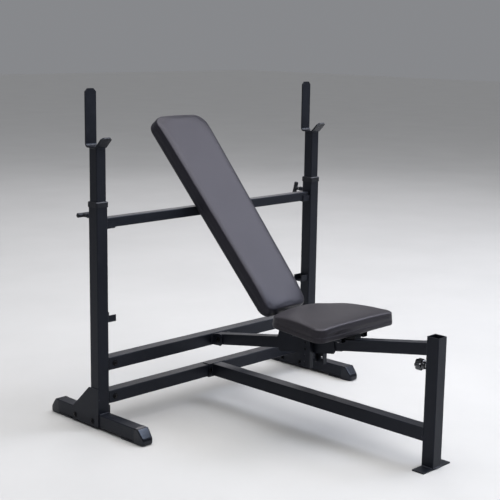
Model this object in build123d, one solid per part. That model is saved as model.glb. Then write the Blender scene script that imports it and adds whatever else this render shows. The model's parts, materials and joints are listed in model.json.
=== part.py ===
"""Olympic bench press: telescoping rack, tilting back pad, height-adjustable seat and front post.

Millimetres. +X is the lifter's left-to-right direction, -Y is the front (post) end, +Z is up.
The origin is on the floor, under the middle of the bench's overall box.
"""
import math
import os

from build123d import *

# ---- overall sizes -------------------------------------------------------------------------
RACK_SPACING = 1195.0          # between the two uprights' centre lines
POST_REACH = 1160.0            # uprights' centre plane to the front of the post's base plate
FOOT_HALF_LENGTH = 285.0       # uprights' centre plane to a foot cap's tip, each way
UPRIGHT_TOP = 867.0            # top of the outer upright tube
HOLDER_RISE = 218.4            # top of the inner upright above the outer one
HOLDER_HEIGHT = 217.6          # bar holder's back plate above the inner upright
SEAT_TOP = 475.0
UPRIGHT_Y = (POST_REACH - FOOT_HALF_LENGTH) / 2

# ---- tube stock ----------------------------------------------------------------------------
TUBE = 50.8                    # main square tube
WALL = 1.5
CORNER = 3.5                   # outside corner radius of the square tubes
TELESCOPE_CLEARANCE = 1.675    # inner tube to the bore of the main tube, each side
INNER_TUBE = TUBE - 2 * WALL - 2 * TELESCOPE_CLEARANCE
BEAM_TUBE = 45.0               # inclined main beam
BEAM_WALL = 2.0
BAR_TUBE = 38.1                # back pad's support bar
RAIL = 25.4                    # seat and back pad rails
BACK_RAIL_DEPTH = 12.7
PLATE = 4.0                    # gussets, saddle and hinge plates
THIN_PLATE = 3.0               # cradles, seat posts and lower beam bracket
SLIDE_GAP = 0.3                # between pieces that slide or rest on each other

# ---- fasteners -----------------------------------------------------------------------------
BOLT_R = 4.0
BOLT_HOLE_R = 4.4
DOME_R = 9.0
DOME_H = 4.5
NUT_WALL = 3.5
NUT_H = 6.5
NUT_CLEARANCE = 0.02
SCREW_R = 3.0
SCREW_HOLE_R = 3.3
HINGE_R = 5.0
HINGE_CLEARANCE = 0.05

# ---- feet ----------------------------------------------------------------------------------
FOOT_CLEARANCE = 9.4           # foot tube's underside above the floor
CAP_SEAM = 232.0               # uprights' plane to the end of the foot tube
CAP_SHOULDER = 257.0           # uprights' plane to the top of the cap's slope
CAP_PAD_START = 156.0          # uprights' plane to the inner end of the cap's rubber pad
CAP_NOSE_TOP = 24.0
CAP_PLUG = 24.0
GUSSET_REAR = 141.0            # uprights' plane to the gusset's rear edge
GUSSET_TOP = 161.0
GUSSET_TOP_REAR = 31.5
GUSSET_HEEL = 58.9             # height where the slope meets the rear edge
FOOT_BOLTS = (12.3, 121.0)     # behind the uprights' plane
FOOT_BOLT_Z = 28.0

# ---- crossbars and beams -------------------------------------------------------------------
UPPER_CROSSBAR_Z = 228.0
LOWER_CROSSBAR_Z = 95.0
CROSSBAR_GAP = 0.5             # crossbar end to upright
STUB_LENGTH = 55.0
CROSSBAR_BOLT_INSET = 29.0     # crossbar bolt to the upright's inner face
LOWER_BEAM_Z = 96.0
BRACKET_MARGIN = 19.6          # bracket plate, past the beam on each side
BRACKET_WRAP = 12.0            # lower bracket's flanges, past the uprights' plane
BRACKET_BOLT = 10.1            # bracket bolt to the beam's side
BEAM_SLOPE = 0.167             # rise over run of the main beam, towards the front
BEAM_ROOT_Z = 262.5            # main beam's centre line, BEAM_ROOT in front of the uprights
BEAM_ROOT = 84.0
BEAM_REAR = 36.0               # main beam's rear end in front of the uprights' plane
EAR_REACH = 86.0
EAR_HEIGHT = 50.0
BEAM_BOLT = 62.0
BASE_PLATE_WIDTH = 160.0
BASE_PLATE_THICKNESS = 5.0
POST_WALL = 2.5
POST_MARGIN = 24.5             # post's top above the main beam

# ---- telescoping uprights ------------------------------------------------------------------
INNER_LENGTH = 620.0
HEIGHT_PITCH = 50.8
HOLES_ABOVE_PIN = 3
HOLES_BELOW_PIN = 2
COLLAR_RIM = 3.2               # collar stands proud of the upright by this much
COLLAR_BELOW = 3.0
COLLAR_ABOVE = 18.3
COLLAR_SKIRT = 30.0
GLIDE_HEIGHT = 30.0

# ---- bar holders ---------------------------------------------------------------------------
HOLDER_WIDTH = 50.0
HOLDER_PLATE = 6.0
HOLDER_BACK = 42.5             # uprights' plane to the back plate's rear face
HOLDER_FRONT = 22.5            # uprights' plane to the lip's bend
HOLDER_BEND = 16.0
LIP_REACH = 38.0
LIP_CORNER = 9.0
HOLDER_TOP_CORNER = 12.0

# ---- support bar and its cradles -----------------------------------------------------------
CRADLE_LENGTH = 41.0
CRADLE_HEIGHT = 27.0
CRADLE_SIDE_GAP = 0.8
CRADLE_FRONT = 19.4            # front face of the cradle in front of the uprights' plane
CRADLE_BELOW_TOP = 88.0        # upper cradle's underside below the upright's top
CRADLE_SPACING = 363.0
BAR_END_GAP = 6.0

# ---- spring pull pins ----------------------------------------------------------------------
PIN_BELOW_TOP = 44.0           # pin's axis below the upright's top
NOSE_R = 5.0
NOSE_CLEARANCE = 0.3
STEM_R = 3.2
PIN_FREE_GAP = 0.8             # nose to the inner upright when the pin is drawn
HOUSING_R = 15.0
HOUSING_WALL = 2.5
HOUSING_LENGTH = 37.0
HOUSING_END = 4.0
SHOULDER_LIP = 1.6             # spring shoulder's radius beyond the nose's
CAVITY_GAP = 0.4
SHOULDER = 3.0
SPRING_WIRE_R = 0.7
SPRING_PITCH = 1.6
SPRING_COILS = 5
NOSE_TOP = 14.0                # drawn nose's shoulder above the housing's base
PIN_THROW = 9.0                # from drawn to engaged
HANDLE_REACH = 65.5            # housing's base to the T handle's axis
HANDLE_R = 9.5
HANDLE_LENGTH = 60.0
HANDLE_HUB_R = 7.5
RIGHT_HANDLE_TURN = 76.0

# ---- seat ----------------------------------------------------------------------------------
SEAT_FRONT = 787.0             # in front of the uprights' plane
SEAT_REAR = 484.0
SEAT_FRONT_HALF = 223.0
SEAT_REAR_HALF = 163.0
SEAT_FRONT_CORNER = 36.0
SEAT_REAR_CORNER = 62.0
SEAT_FOAM = 43.0
BOARD = 12.0
BOARD_INSET = 6.0
SEAT_ROUND = 11.0
SEAT_RAIL_FRONT = 765.0
SEAT_RAIL_REAR = 508.0
SEAT_POST_Y = 567.0
SEAT_POST_WIDTH = 46.0
GUIDE_DEPTH = 19.7             # guide block, out from the saddle
GUIDE_GAP = 0.4
SEAT_POST_FLANGE = 17.0
SEAT_POST_BOTTOM = 255.0
SEAT_PIN_RISE = 11.8           # seat pin's axis above the main beam's centre line
SEAT_HOLE_PITCH = 27.0
SEAT_HOLES = 4
REST_BLOCK = (745.0, 785.0)

# ---- saddle on the main beam ---------------------------------------------------------------
SADDLE_REAR = 402.0
SADDLE_FRONT = 690.0
SADDLE_DROP = 12.0             # sides below the beam
SADDLE_GAP = 0.4

# ---- back pad ------------------------------------------------------------------------------
HINGE_Y = 430.0                # in front of the uprights' plane
HINGE_Z = 408.0
BACK_FACE = 43.1               # hinge axis to the pad's face
BACK_START = 36.0              # hinge axis to the pad's lower end
BACK_LENGTH = 965.0
BACK_LOW_HALF = 113.0
BACK_TOP_HALF = 141.0
BACK_LOW_CORNER = 40.0
BACK_TOP_CORNER = 50.0
BACK_FOAM = 44.0
BACK_ROUND = 13.0
BACK_RAIL_START = 42.0
BACK_RAIL_END = 900.0
ARM_LENGTH = 115.0
ARM_BOSS_R = 16.0
ARM_GAP = 0.6
BUSH_WALL = 2.0
BUSH_FIT = 0.02

# ---- post knob -----------------------------------------------------------------------------
KNOB_BELOW_TOP = 115.0         # knob's axis below the post's top
KNOB_BOSS_R = 12.0
KNOB_BOSS = 9.0
KNOB_STUD_R = 5.0
KNOB_COLLAR_R = 9.0
KNOB_COLLAR = 5.0
KNOB_R = 22.0
KNOB_LENGTH = 40.0
KNOB_LOBES = 6

# ---- worked-out places ---------------------------------------------------------------------
NUT_BORE_R = BOLT_R + NUT_CLEARANCE
UPRIGHT_X = RACK_SPACING / 2
HOLDER_BASE = UPRIGHT_TOP + HOLDER_RISE
PIN_Z = UPRIGHT_TOP - PIN_BELOW_TOP
UPPER_CRADLE_Z = UPRIGHT_TOP - CRADLE_BELOW_TOP
LOWER_CRADLE_Z = UPPER_CRADLE_Z - CRADLE_SPACING
BRACKET_HALF_WIDTH = TUBE / 2 + BRACKET_MARGIN
BRACKET_BOLT_X = TUBE / 2 + BRACKET_BOLT
SHOULDER_R = NOSE_R + SHOULDER_LIP
CAVITY_R = SHOULDER_R + CAVITY_GAP
SPRING_R = CAVITY_R - SPRING_WIRE_R - 1.1
HOUSING_NECK_R = CAVITY_R + HOUSING_WALL
BUSH_R = HINGE_R + BUSH_WALL
INNER_FACE_X = UPRIGHT_X - TUBE / 2
FOOT_TOP = FOOT_CLEARANCE + TUBE
BEAM_ANGLE = math.atan(BEAM_SLOPE)
BEAM_DIRECTION = (0, -math.cos(BEAM_ANGLE), math.sin(BEAM_ANGLE))
POST_Y = UPRIGHT_Y - POST_REACH + TUBE / 2
POST_REAR_Y = POST_Y + TUBE / 2
BAR_FRONT_Y = UPRIGHT_Y - CRADLE_FRONT + THIN_PLATE + CRADLE_SIDE_GAP
BAR_Z = UPPER_CRADLE_Z + THIN_PLATE + SLIDE_GAP
SADDLE_SIDE = BEAM_TUBE / 2 + SADDLE_GAP
SADDLE_OUTER = SADDLE_SIDE + PLATE
SEAT_POST_WEB = SADDLE_OUTER + GUIDE_DEPTH + GUIDE_GAP
ARM_X = SADDLE_OUTER + ARM_GAP
BACK_RAIL_X = ARM_X + PLATE + RAIL / 2
BOARD_FACE = BACK_FACE - BACK_FOAM
RAIL_FACE = BOARD_FACE - BOARD
SEAT_RAIL_TOP = SEAT_TOP - SEAT_FOAM - BOARD
SEAT_RAIL_X = SEAT_POST_WEB + THIN_PLATE + RAIL / 2


def ahead(distance):
    """Y of a place that far in front of the uprights' centre plane."""
    return UPRIGHT_Y - distance


def beam_height(distance):
    """Height of the main beam's centre line, that far in front of the uprights."""
    return BEAM_ROOT_Z + BEAM_SLOPE * (distance - BEAM_ROOT)


def beam_point(distance, offset=0.0):
    """(Y, Z) on the main beam's centre line, with an offset square to the beam."""
    drop = offset * math.cos(BEAM_ANGLE)
    return (ahead(distance) + offset * math.sin(BEAM_ANGLE), beam_height(distance) + drop)


BEAM_TOP_AT_POST = beam_height(POST_REACH - TUBE) + BEAM_TUBE / 2 / math.cos(BEAM_ANGLE)
POST_TOP = BEAM_TOP_AT_POST + POST_MARGIN
KNOB_Z = POST_TOP - KNOB_BELOW_TOP
SEAT_HOLE_TOP = beam_height(SEAT_POST_Y) + SEAT_PIN_RISE


def back_angle():
    """Angle of the back pad when its rails rest on the support bar's rounded front edge."""
    corner_y = BAR_FRONT_Y + CORNER
    corner_z = BAR_Z + BAR_TUBE - CORNER
    run = corner_y - ahead(HINGE_Y)
    rise = corner_z - HINGE_Z
    depth = BACK_RAIL_DEPTH - RAIL_FACE + CORNER + SLIDE_GAP
    return math.degrees(math.atan2(rise, run) + math.asin(depth / math.hypot(run, rise)))


# ---- shape helpers -------------------------------------------------------------------------
def block(x, y, z):
    """A box from its (low, high) limits on the three axes."""
    size = [limits[1] - limits[0] for limits in (x, y, z)]
    middle = [(limits[1] + limits[0]) / 2 for limits in (x, y, z)]
    return Pos(*middle) * Box(*size)


def rod(start, direction, radius, length):
    """A round bar from a point along a direction."""
    return extrude(Plane(origin=start, z_dir=direction) * Circle(radius), length)


def tube(start, direction, size, wall, length, x_dir=(1, 0, 0)):
    """A square tube with rounded corners; its axis starts at a point and follows a direction."""
    plane = Plane(origin=start, x_dir=x_dir, z_dir=direction)
    outer = RectangleRounded(size, size, CORNER)
    inner = RectangleRounded(size - 2 * wall, size - 2 * wall, CORNER - wall)
    return extrude(plane * (outer - inner), length)


def side_plate(outline, low_x, high_x):
    """A plate whose outline is given in (Y, Z), between two X limits."""
    plane = Plane(origin=(low_x, 0, 0), x_dir=(0, 1, 0), z_dir=(1, 0, 0))
    return extrude(plane * outline, high_x - low_x, dir=(1, 0, 0))


def slab(outline, low_z, thickness):
    """A plate whose outline is given in (X, Y), from a height upward."""
    return extrude(Pos(0, 0, low_z) * outline, thickness, dir=(0, 0, 1))


def outline(*points):
    """A closed straight-sided outline at its own coordinates."""
    return Polygon(*points, align=None)


def disc(point, radius):
    """A round outline about a point."""
    return Pos(point[0], point[1]) * Circle(radius)


def dome_bolt(point, outward, shank):
    """A round-headed bolt whose head seats at a point, with its shank running inward."""
    sphere_r = (DOME_R**2 + DOME_H**2) / (2 * DOME_H)
    cap = Pos(0, 0, DOME_H - sphere_r) * Sphere(sphere_r)
    head = cap & Pos(0, 0, DOME_H / 2) * Box(4 * DOME_R, 4 * DOME_R, DOME_H)
    bolt = head + Pos(0, 0, -shank / 2) * Cylinder(BOLT_R, shank)
    return Plane(origin=point, z_dir=outward).location * bolt


def hex_nut(point, outward, bore_r=NUT_BORE_R):
    """A hexagon nut that seats at a point and faces outward."""
    ring = RegularPolygon(bore_r + NUT_WALL, 6) - Circle(bore_r)
    return extrude(Plane(origin=point, z_dir=outward) * ring, NUT_H)


def both_sides(make):
    """The left and the right copy of a piece: make(-1) and make(1)."""
    return Compound([make(-1), make(1)])


def between(side, inner, outer):
    """(low, high) X limits of a piece that lies between two distances on one side."""
    return tuple(sorted((side * inner, side * outer)))


# ---- feet and uprights ---------------------------------------------------------------------
def foot_tube(side):
    """Floor tube under one upright, with the two cross holes for its gusset bolts."""
    start = (side * UPRIGHT_X, ahead(CAP_SEAM), FOOT_CLEARANCE + TUBE / 2)
    shape = tube(start, (0, 1, 0), TUBE, WALL, 2 * CAP_SEAM)
    for bolt in FOOT_BOLTS:
        shape -= rod((side * UPRIGHT_X - TUBE, UPRIGHT_Y + bolt, FOOT_BOLT_Z), (1, 0, 0),
                     BOLT_HOLE_R, 2 * TUBE)
    return shape


def foot_cap(side, end):
    """Moulded end cap: sloped nose, plug inside the tube and a pad that runs back under it."""
    def at(distance, height):
        return (UPRIGHT_Y + end * distance, height)

    nose = outline(at(CAP_PAD_START, 0), at(CAP_PAD_START, FOOT_CLEARANCE), at(CAP_SEAM, FOOT_CLEARANCE),
                   at(CAP_SEAM, FOOT_TOP), at(CAP_SHOULDER, FOOT_TOP),
                   at(FOOT_HALF_LENGTH - 3, CAP_NOSE_TOP), at(FOOT_HALF_LENGTH, CAP_NOSE_TOP - 5),
                   at(FOOT_HALF_LENGTH, 6), at(FOOT_HALF_LENGTH - 6, 0))
    low, high = between(side, UPRIGHT_X - TUBE / 2, UPRIGHT_X + TUBE / 2)
    cap = side_plate(nose, low, high)
    tip = [edge for edge in cap.edges().filter_by(Axis.Z)
           if abs(abs(edge.center().Y - UPRIGHT_Y) - FOOT_HALF_LENGTH) < 1]
    cap = fillet(tip, 5)
    plug_side = TUBE - 2 * WALL - 2 * SLIDE_GAP
    plug_start = (side * UPRIGHT_X, UPRIGHT_Y + end * (CAP_SEAM - CAP_PLUG), FOOT_CLEARANCE + TUBE / 2)
    plug_plane = Plane(origin=plug_start, x_dir=(1, 0, 0), z_dir=(0, end, 0))
    plug = plug_plane * RectangleRounded(plug_side, plug_side, CORNER - WALL)
    return cap + extrude(plug, CAP_PLUG + 1)


def outer_gusset(side):
    """Plate that joins the upright's outer face to the foot."""
    y = UPRIGHT_Y
    shape = outline((y - TUBE / 2, FOOT_CLEARANCE), (y - TUBE / 2, GUSSET_TOP),
                    (y + GUSSET_TOP_REAR, GUSSET_TOP),
                    (y + GUSSET_REAR - 2, GUSSET_HEEL), (y + GUSSET_REAR, GUSSET_HEEL - 6),
                    (y + GUSSET_REAR, FOOT_CLEARANCE + 6), (y + GUSSET_REAR - 6, FOOT_CLEARANCE))
    return drilled_gusset(shape, side, UPRIGHT_X + TUBE / 2, UPRIGHT_X + TUBE / 2 + PLATE)


def inner_gusset(side):
    """Lower plate on the inner face, which stops under the lower crossbar."""
    y = UPRIGHT_Y
    top = LOWER_CROSSBAR_Z - 5
    shape = outline((y - TUBE / 2, FOOT_CLEARANCE), (y - TUBE / 2, top), (y + GUSSET_TOP_REAR, top),
                    (y + GUSSET_REAR, GUSSET_HEEL - 6), (y + GUSSET_REAR, FOOT_CLEARANCE + 6),
                    (y + GUSSET_REAR - 6, FOOT_CLEARANCE))
    return drilled_gusset(shape, side, INNER_FACE_X - PLATE, INNER_FACE_X)


def drilled_gusset(shape, side, inner, outer):
    """A gusset plate with its two bolt holes."""
    for bolt in FOOT_BOLTS:
        shape -= disc((UPRIGHT_Y + bolt, FOOT_BOLT_Z), BOLT_HOLE_R)
    return side_plate(shape, *between(side, inner, outer))


def upright(side):
    """Outer upright tube with the pull pin's hole in its rear wall."""
    shape = tube((side * UPRIGHT_X, UPRIGHT_Y, FOOT_TOP), (0, 0, 1), TUBE, WALL, UPRIGHT_TOP - FOOT_TOP)
    return shape - rod((side * UPRIGHT_X, UPRIGHT_Y + 10, PIN_Z), (0, 1, 0), NOSE_R + NOSE_CLEARANCE, TUBE)


def upright_collar(side):
    """Plastic collar in the mouth of an upright, which guides the inner tube."""
    rim = TUBE + 2 * COLLAR_RIM
    centre = (side * UPRIGHT_X, UPRIGHT_Y)
    low = UPRIGHT_TOP - COLLAR_BELOW
    top = UPRIGHT_TOP + COLLAR_ABOVE
    body = extrude(Pos(*centre, low) * RectangleRounded(rim, rim, CORNER + COLLAR_RIM), top - low)
    body = chamfer(body.faces().sort_by(Axis.Z)[-1].edges(), COLLAR_RIM)
    recess = extrude(Pos(*centre, low) * RectangleRounded(TUBE, TUBE, CORNER), COLLAR_BELOW)
    fit = TUBE - 2 * WALL
    skirt = Pos(*centre, UPRIGHT_TOP - COLLAR_SKIRT) * RectangleRounded(fit, fit, CORNER - WALL)
    bore = INNER_TUBE + 2 * SLIDE_GAP
    through = Pos(*centre, UPRIGHT_TOP - COLLAR_SKIRT) * RectangleRounded(bore, bore, CORNER)
    return body - recess + extrude(skirt, COLLAR_SKIRT) - extrude(through, COLLAR_SKIRT + COLLAR_ABOVE)


# ---- crossbars, beams and post -------------------------------------------------------------
def crossbar_bolt_x():
    """X of the end bolts, from the uprights' inner faces."""
    return INNER_FACE_X - CROSSBAR_BOLT_INSET


def crossbar(low_z, extra_bolts=()):
    """Square tube between the uprights, drilled front to back for its bolts."""
    length = 2 * (INNER_FACE_X - CROSSBAR_GAP)
    shape = tube((-length / 2, UPRIGHT_Y, low_z + TUBE / 2), (1, 0, 0), TUBE, WALL, length, (0, 1, 0))
    for x in (-crossbar_bolt_x(), crossbar_bolt_x(), *extra_bolts):
        shape -= rod((x, UPRIGHT_Y - TUBE, low_z + TUBE / 2), (0, 1, 0), BOLT_HOLE_R, 2 * TUBE)
    return shape


def crossbar_stub(side, low_z):
    """Short tube welded to the upright, inside the crossbar's end."""
    start = (side * INNER_FACE_X, UPRIGHT_Y, low_z + TUBE / 2)
    shape = tube(start, (-side, 0, 0), INNER_TUBE, WALL, STUB_LENGTH, (0, 1, 0))
    hole_start = (side * crossbar_bolt_x(), UPRIGHT_Y - TUBE, low_z + TUBE / 2)
    return shape - rod(hole_start, (0, 1, 0), BOLT_HOLE_R, 2 * TUBE)


def lower_beam():
    """Level tube from the lower crossbar's bracket to the front post."""
    start_y = UPRIGHT_Y - TUBE / 2 - THIN_PLATE
    start = (0, start_y, LOWER_BEAM_Z + TUBE / 2)
    return tube(start, (0, -1, 0), TUBE, WALL, start_y - POST_REAR_Y)


def lower_beam_bracket():
    """Folded bracket that wraps the lower crossbar and is bolted through it."""
    front = UPRIGHT_Y - TUBE / 2
    low, high = LOWER_CROSSBAR_Z, LOWER_CROSSBAR_Z + TUBE
    width = (-BRACKET_HALF_WIDTH, BRACKET_HALF_WIDTH)
    shape = block(width, (front - THIN_PLATE, front), (low - THIN_PLATE, high + THIN_PLATE))
    shape += block(width, (front - THIN_PLATE, UPRIGHT_Y + BRACKET_WRAP), (high, high + THIN_PLATE))
    shape += block(width, (front - THIN_PLATE, UPRIGHT_Y + BRACKET_WRAP), (low - THIN_PLATE, low))
    for x in (-BRACKET_BOLT_X, BRACKET_BOLT_X):
        shape -= rod((x, front - TUBE, low + TUBE / 2), (0, 1, 0), BOLT_HOLE_R, TUBE)
    return shape


def main_beam():
    """Inclined tube from the upper crossbar's ears to the front post, cut to the post's face."""
    y, z = beam_point(BEAM_REAR)
    length = (y - POST_REAR_Y) / math.cos(BEAM_ANGLE) + BEAM_TUBE
    shape = tube((0, y, z), BEAM_DIRECTION, BEAM_TUBE, BEAM_WALL, length)
    shape -= block((-TUBE, TUBE), (POST_REAR_Y - 2 * TUBE, POST_REAR_Y), (0, POST_TOP + TUBE))
    return shape - rod((-TUBE, *beam_point(BEAM_BOLT)), (1, 0, 0), BOLT_HOLE_R, 2 * TUBE)


def main_beam_ear(side):
    """Plate on the upper crossbar that carries the main beam's rear bolt."""
    rear = UPRIGHT_Y - TUBE / 2
    front = ahead(EAR_REACH)
    y, z = beam_point(BEAM_BOLT)
    low, high = z - EAR_HEIGHT / 2, z + EAR_HEIGHT / 2
    low_at_rear = UPPER_CROSSBAR_Z + CORNER
    high_at_rear = UPPER_CROSSBAR_Z + TUBE - CORNER
    shape = outline((rear, low_at_rear), (rear, high_at_rear), (y, high), (front + 10, high),
                    (front, high - 10), (front, low + 10), (front + 10, low), (y, low))
    shape -= disc((y, z), BOLT_HOLE_R)
    return side_plate(shape, *between(side, SADDLE_SIDE, SADDLE_OUTER))


def front_post():
    """Open-topped post; attachments drop into it and the knob clamps them."""
    length = POST_TOP - BASE_PLATE_THICKNESS
    shape = tube((0, POST_Y, BASE_PLATE_THICKNESS), (0, 0, 1), TUBE, POST_WALL, length)
    return shape - rod((0, POST_Y, KNOB_Z), (0, 1, 0), KNOB_STUD_R + NOSE_CLEARANCE, TUBE)


def post_base_plate():
    """Flat plate under the post, which stands on the floor."""
    half = BASE_PLATE_WIDTH / 2
    return block((-half, half), (POST_Y - TUBE / 2, POST_Y + TUBE / 2), (0, BASE_PLATE_THICKNESS))


# ---- telescoping uprights and bar holders --------------------------------------------------
def inner_upright(side):
    """Inner tube with its row of height holes in the rear wall."""
    start = (side * UPRIGHT_X, UPRIGHT_Y, HOLDER_BASE - INNER_LENGTH)
    shape = tube(start, (0, 0, 1), INNER_TUBE, WALL, INNER_LENGTH)
    for step in range(-HOLES_BELOW_PIN, HOLES_ABOVE_PIN + 1):
        height = PIN_Z + step * HEIGHT_PITCH
        shape -= rod((side * UPRIGHT_X, UPRIGHT_Y + 10, height), (0, 1, 0), NOSE_R + NOSE_CLEARANCE, TUBE)
    return shape


def inner_glide(side):
    """Plastic foot of the inner tube: a glide below it and a plug inside it."""
    centre = (side * UPRIGHT_X, UPRIGHT_Y)
    low = HOLDER_BASE - INNER_LENGTH - GLIDE_HEIGHT / 2
    glide_side = TUBE - 2 * WALL - 2 * SLIDE_GAP
    plug_side = INNER_TUBE - 2 * WALL - 2 * SLIDE_GAP
    glide = Pos(*centre, low) * RectangleRounded(glide_side, glide_side, CORNER - WALL)
    plug = Pos(*centre, low) * RectangleRounded(plug_side, plug_side, CORNER - WALL)
    return extrude(glide, GLIDE_HEIGHT / 2) + extrude(plug, GLIDE_HEIGHT)


def bar_holder(side):
    """Bent flat plate on the inner tube: floor, tall back plate and a lip that rises forward."""
    y, z = UPRIGHT_Y, HOLDER_BASE
    lip = LIP_REACH
    skin = HOLDER_PLATE
    slant = skin * (math.sqrt(2) - 1)
    strip = outline((y - HOLDER_FRONT, z), (y + HOLDER_BACK, z), (y + HOLDER_BACK, z + HOLDER_HEIGHT),
                    (y + HOLDER_BACK - skin, z + HOLDER_HEIGHT), (y + HOLDER_BACK - skin, z + skin),
                    (y - HOLDER_FRONT + slant, z + skin),
                    (y - HOLDER_FRONT - lip + skin * math.sqrt(0.5), z + lip + skin * math.sqrt(0.5)),
                    (y - HOLDER_FRONT - lip, z + lip))
    low, high = between(side, UPRIGHT_X - HOLDER_WIDTH / 2, UPRIGHT_X + HOLDER_WIDTH / 2)
    plate = side_plate(strip, low, high)
    bends = plate.edges().filter_by(Axis.X)
    outer_bend = bends.sort_by_distance((side * UPRIGHT_X, y + HOLDER_BACK, z))[0]
    inner_bend = bends.sort_by_distance((side * UPRIGHT_X, y + HOLDER_BACK - skin, z + skin))[0]
    plate = fillet(outer_bend, HOLDER_BEND)
    inner_bend = plate.edges().filter_by(Axis.X).sort_by_distance(inner_bend.center())[0]
    plate = fillet(inner_bend, HOLDER_BEND - skin)
    top = plate.edges().filter_by(Axis.Y).sort_by(Axis.Z)[-2:]
    plate = chamfer(top, HOLDER_TOP_CORNER)
    slanted = [edge for edge in plate.edges() if edge.center().Y < y - HOLDER_FRONT - lip + skin
               and abs(edge.tangent_at(0.5).X) < 0.1]
    slanted = sorted(slanted, key=lambda edge: edge.length)[:2]
    return chamfer(slanted, LIP_CORNER)


# ---- support bar ---------------------------------------------------------------------------
def cradle(side, low_z):
    """U-shaped cradle on an upright's inner face."""
    front = ahead(CRADLE_FRONT)
    rear = front + 2 * THIN_PLATE + BAR_TUBE + 2 * CRADLE_SIDE_GAP
    x = between(side, INNER_FACE_X - CRADLE_LENGTH, INNER_FACE_X)
    solid = block(x, (front, rear), (low_z, low_z + CRADLE_HEIGHT))
    folds = [edge for edge in solid.edges().filter_by(Axis.X) if edge.center().Z < low_z + 1]
    solid = fillet(folds, THIN_PLATE)
    hollow = block((x[0] - 1, x[1] + 1), (front + THIN_PLATE, rear - THIN_PLATE),
                   (low_z + THIN_PLATE, low_z + CRADLE_HEIGHT + 1))
    return solid - hollow


def support_bar():
    """Loose tube that lies in the upper cradles and carries the back pad."""
    half = INNER_FACE_X - BAR_END_GAP - THIN_PLATE
    start = (-half, BAR_FRONT_Y + BAR_TUBE / 2, BAR_Z + BAR_TUBE / 2)
    return tube(start, (1, 0, 0), BAR_TUBE, WALL, 2 * half, (0, 1, 0))


def support_bar_plug(side):
    """Plastic plug that closes an end of the support bar."""
    half = INNER_FACE_X - BAR_END_GAP - THIN_PLATE
    y, z = BAR_FRONT_Y + BAR_TUBE / 2, BAR_Z + BAR_TUBE / 2
    head = Plane(origin=(side * half, y, z), x_dir=(0, 1, 0), z_dir=(side, 0, 0))
    body = extrude(head * RectangleRounded(BAR_TUBE, BAR_TUBE, CORNER), THIN_PLATE)
    fit = BAR_TUBE - 2 * WALL - 2 * SLIDE_GAP
    return body + extrude(head * RectangleRounded(fit, fit, CORNER - WALL), -15)


# ---- spring pull pins ----------------------------------------------------------------------
def pin_frame(name):
    """Place of a pull pin: its base on the wall it is welded to, looking outward."""
    if name == "seat":
        base = SEAT_POST_WEB + 2 * THIN_PLATE + PLATE
        return Plane(origin=(base, ahead(SEAT_POST_Y), SEAT_HOLE_TOP), x_dir=(0, 1, 0), z_dir=(1, 0, 0))
    side = -1 if name == "left" else 1
    return Plane(origin=(side * UPRIGHT_X, UPRIGHT_Y + TUBE / 2, PIN_Z), x_dir=(1, 0, 0), z_dir=(0, 1, 0))


def nose_reach(name):
    """How far a drawn pin's nose reaches in behind its housing's base."""
    if name == "seat":
        return THIN_PLATE + PLATE - PIN_FREE_GAP
    return (TUBE - INNER_TUBE) / 2 - PIN_FREE_GAP


def pin_housing(name):
    """Tapered barrel with the spring's cavity, open towards the nose."""
    taper = outline((0, 0), (HOUSING_R, 0), (HOUSING_R, 4), (HOUSING_NECK_R, 16),
                    (HOUSING_NECK_R, HOUSING_LENGTH), (0, HOUSING_LENGTH))
    shape = revolve(Plane.XZ * taper, Axis.Z)
    shape -= Pos(0, 0, (HOUSING_LENGTH - HOUSING_END) / 2) * Cylinder(CAVITY_R, HOUSING_LENGTH - HOUSING_END)
    shape -= Pos(0, 0, HOUSING_LENGTH / 2) * Cylinder(STEM_R + HINGE_CLEARANCE, HOUSING_LENGTH + 2)
    return pin_frame(name).location * shape


def pin_plunger(name):
    """Hardened nose, spring shoulder and stem."""
    reach = nose_reach(name)
    nose_top = NOSE_TOP
    shape = Pos(0, 0, (nose_top - reach) / 2) * Cylinder(NOSE_R, nose_top + reach)
    shape = chamfer(shape.faces().sort_by(Axis.Z)[0].edges(), 1)
    shape += Pos(0, 0, nose_top + SHOULDER / 2) * Cylinder(SHOULDER_R, SHOULDER)
    stem_end = HANDLE_REACH - HANDLE_R
    shape += Pos(0, 0, (nose_top + stem_end) / 2) * Cylinder(STEM_R, stem_end - nose_top)
    return pin_frame(name).location * shape


def pin_handle(name, turn):
    """Moulded T handle on the stem: a hub and a round-ended cross grip."""
    hub_start = HOUSING_LENGTH + PIN_THROW + 1
    hub = Pos(0, 0, (hub_start + HANDLE_REACH) / 2) * Cylinder(HANDLE_HUB_R, HANDLE_REACH - hub_start)
    grip = Pos(0, 0, HANDLE_REACH) * Rot(0, 90, 0) * Cylinder(HANDLE_R, HANDLE_LENGTH)
    grip = fillet(grip.edges().filter_by(GeomType.CIRCLE), 5)
    shape = Rot(0, 0, turn) * (hub + grip)
    stem_end = HANDLE_REACH - HANDLE_R
    shape -= Pos(0, 0, stem_end / 2) * Cylinder(STEM_R, stem_end)
    return pin_frame(name).location * shape


def pin_spring(name):
    """Compression spring between the shoulder and the housing's end, at its shortest."""
    top = HOUSING_LENGTH - HOUSING_END - SPRING_WIRE_R - SLIDE_GAP
    height = SPRING_COILS * SPRING_PITCH
    path = Helix(SPRING_PITCH, height, SPRING_R)
    section = Plane(origin=path @ 0, z_dir=path % 0) * Circle(SPRING_WIRE_R)
    coil = sweep(section, path=path)
    return pin_frame(name).location * Pos(0, 0, top - height) * coil


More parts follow.
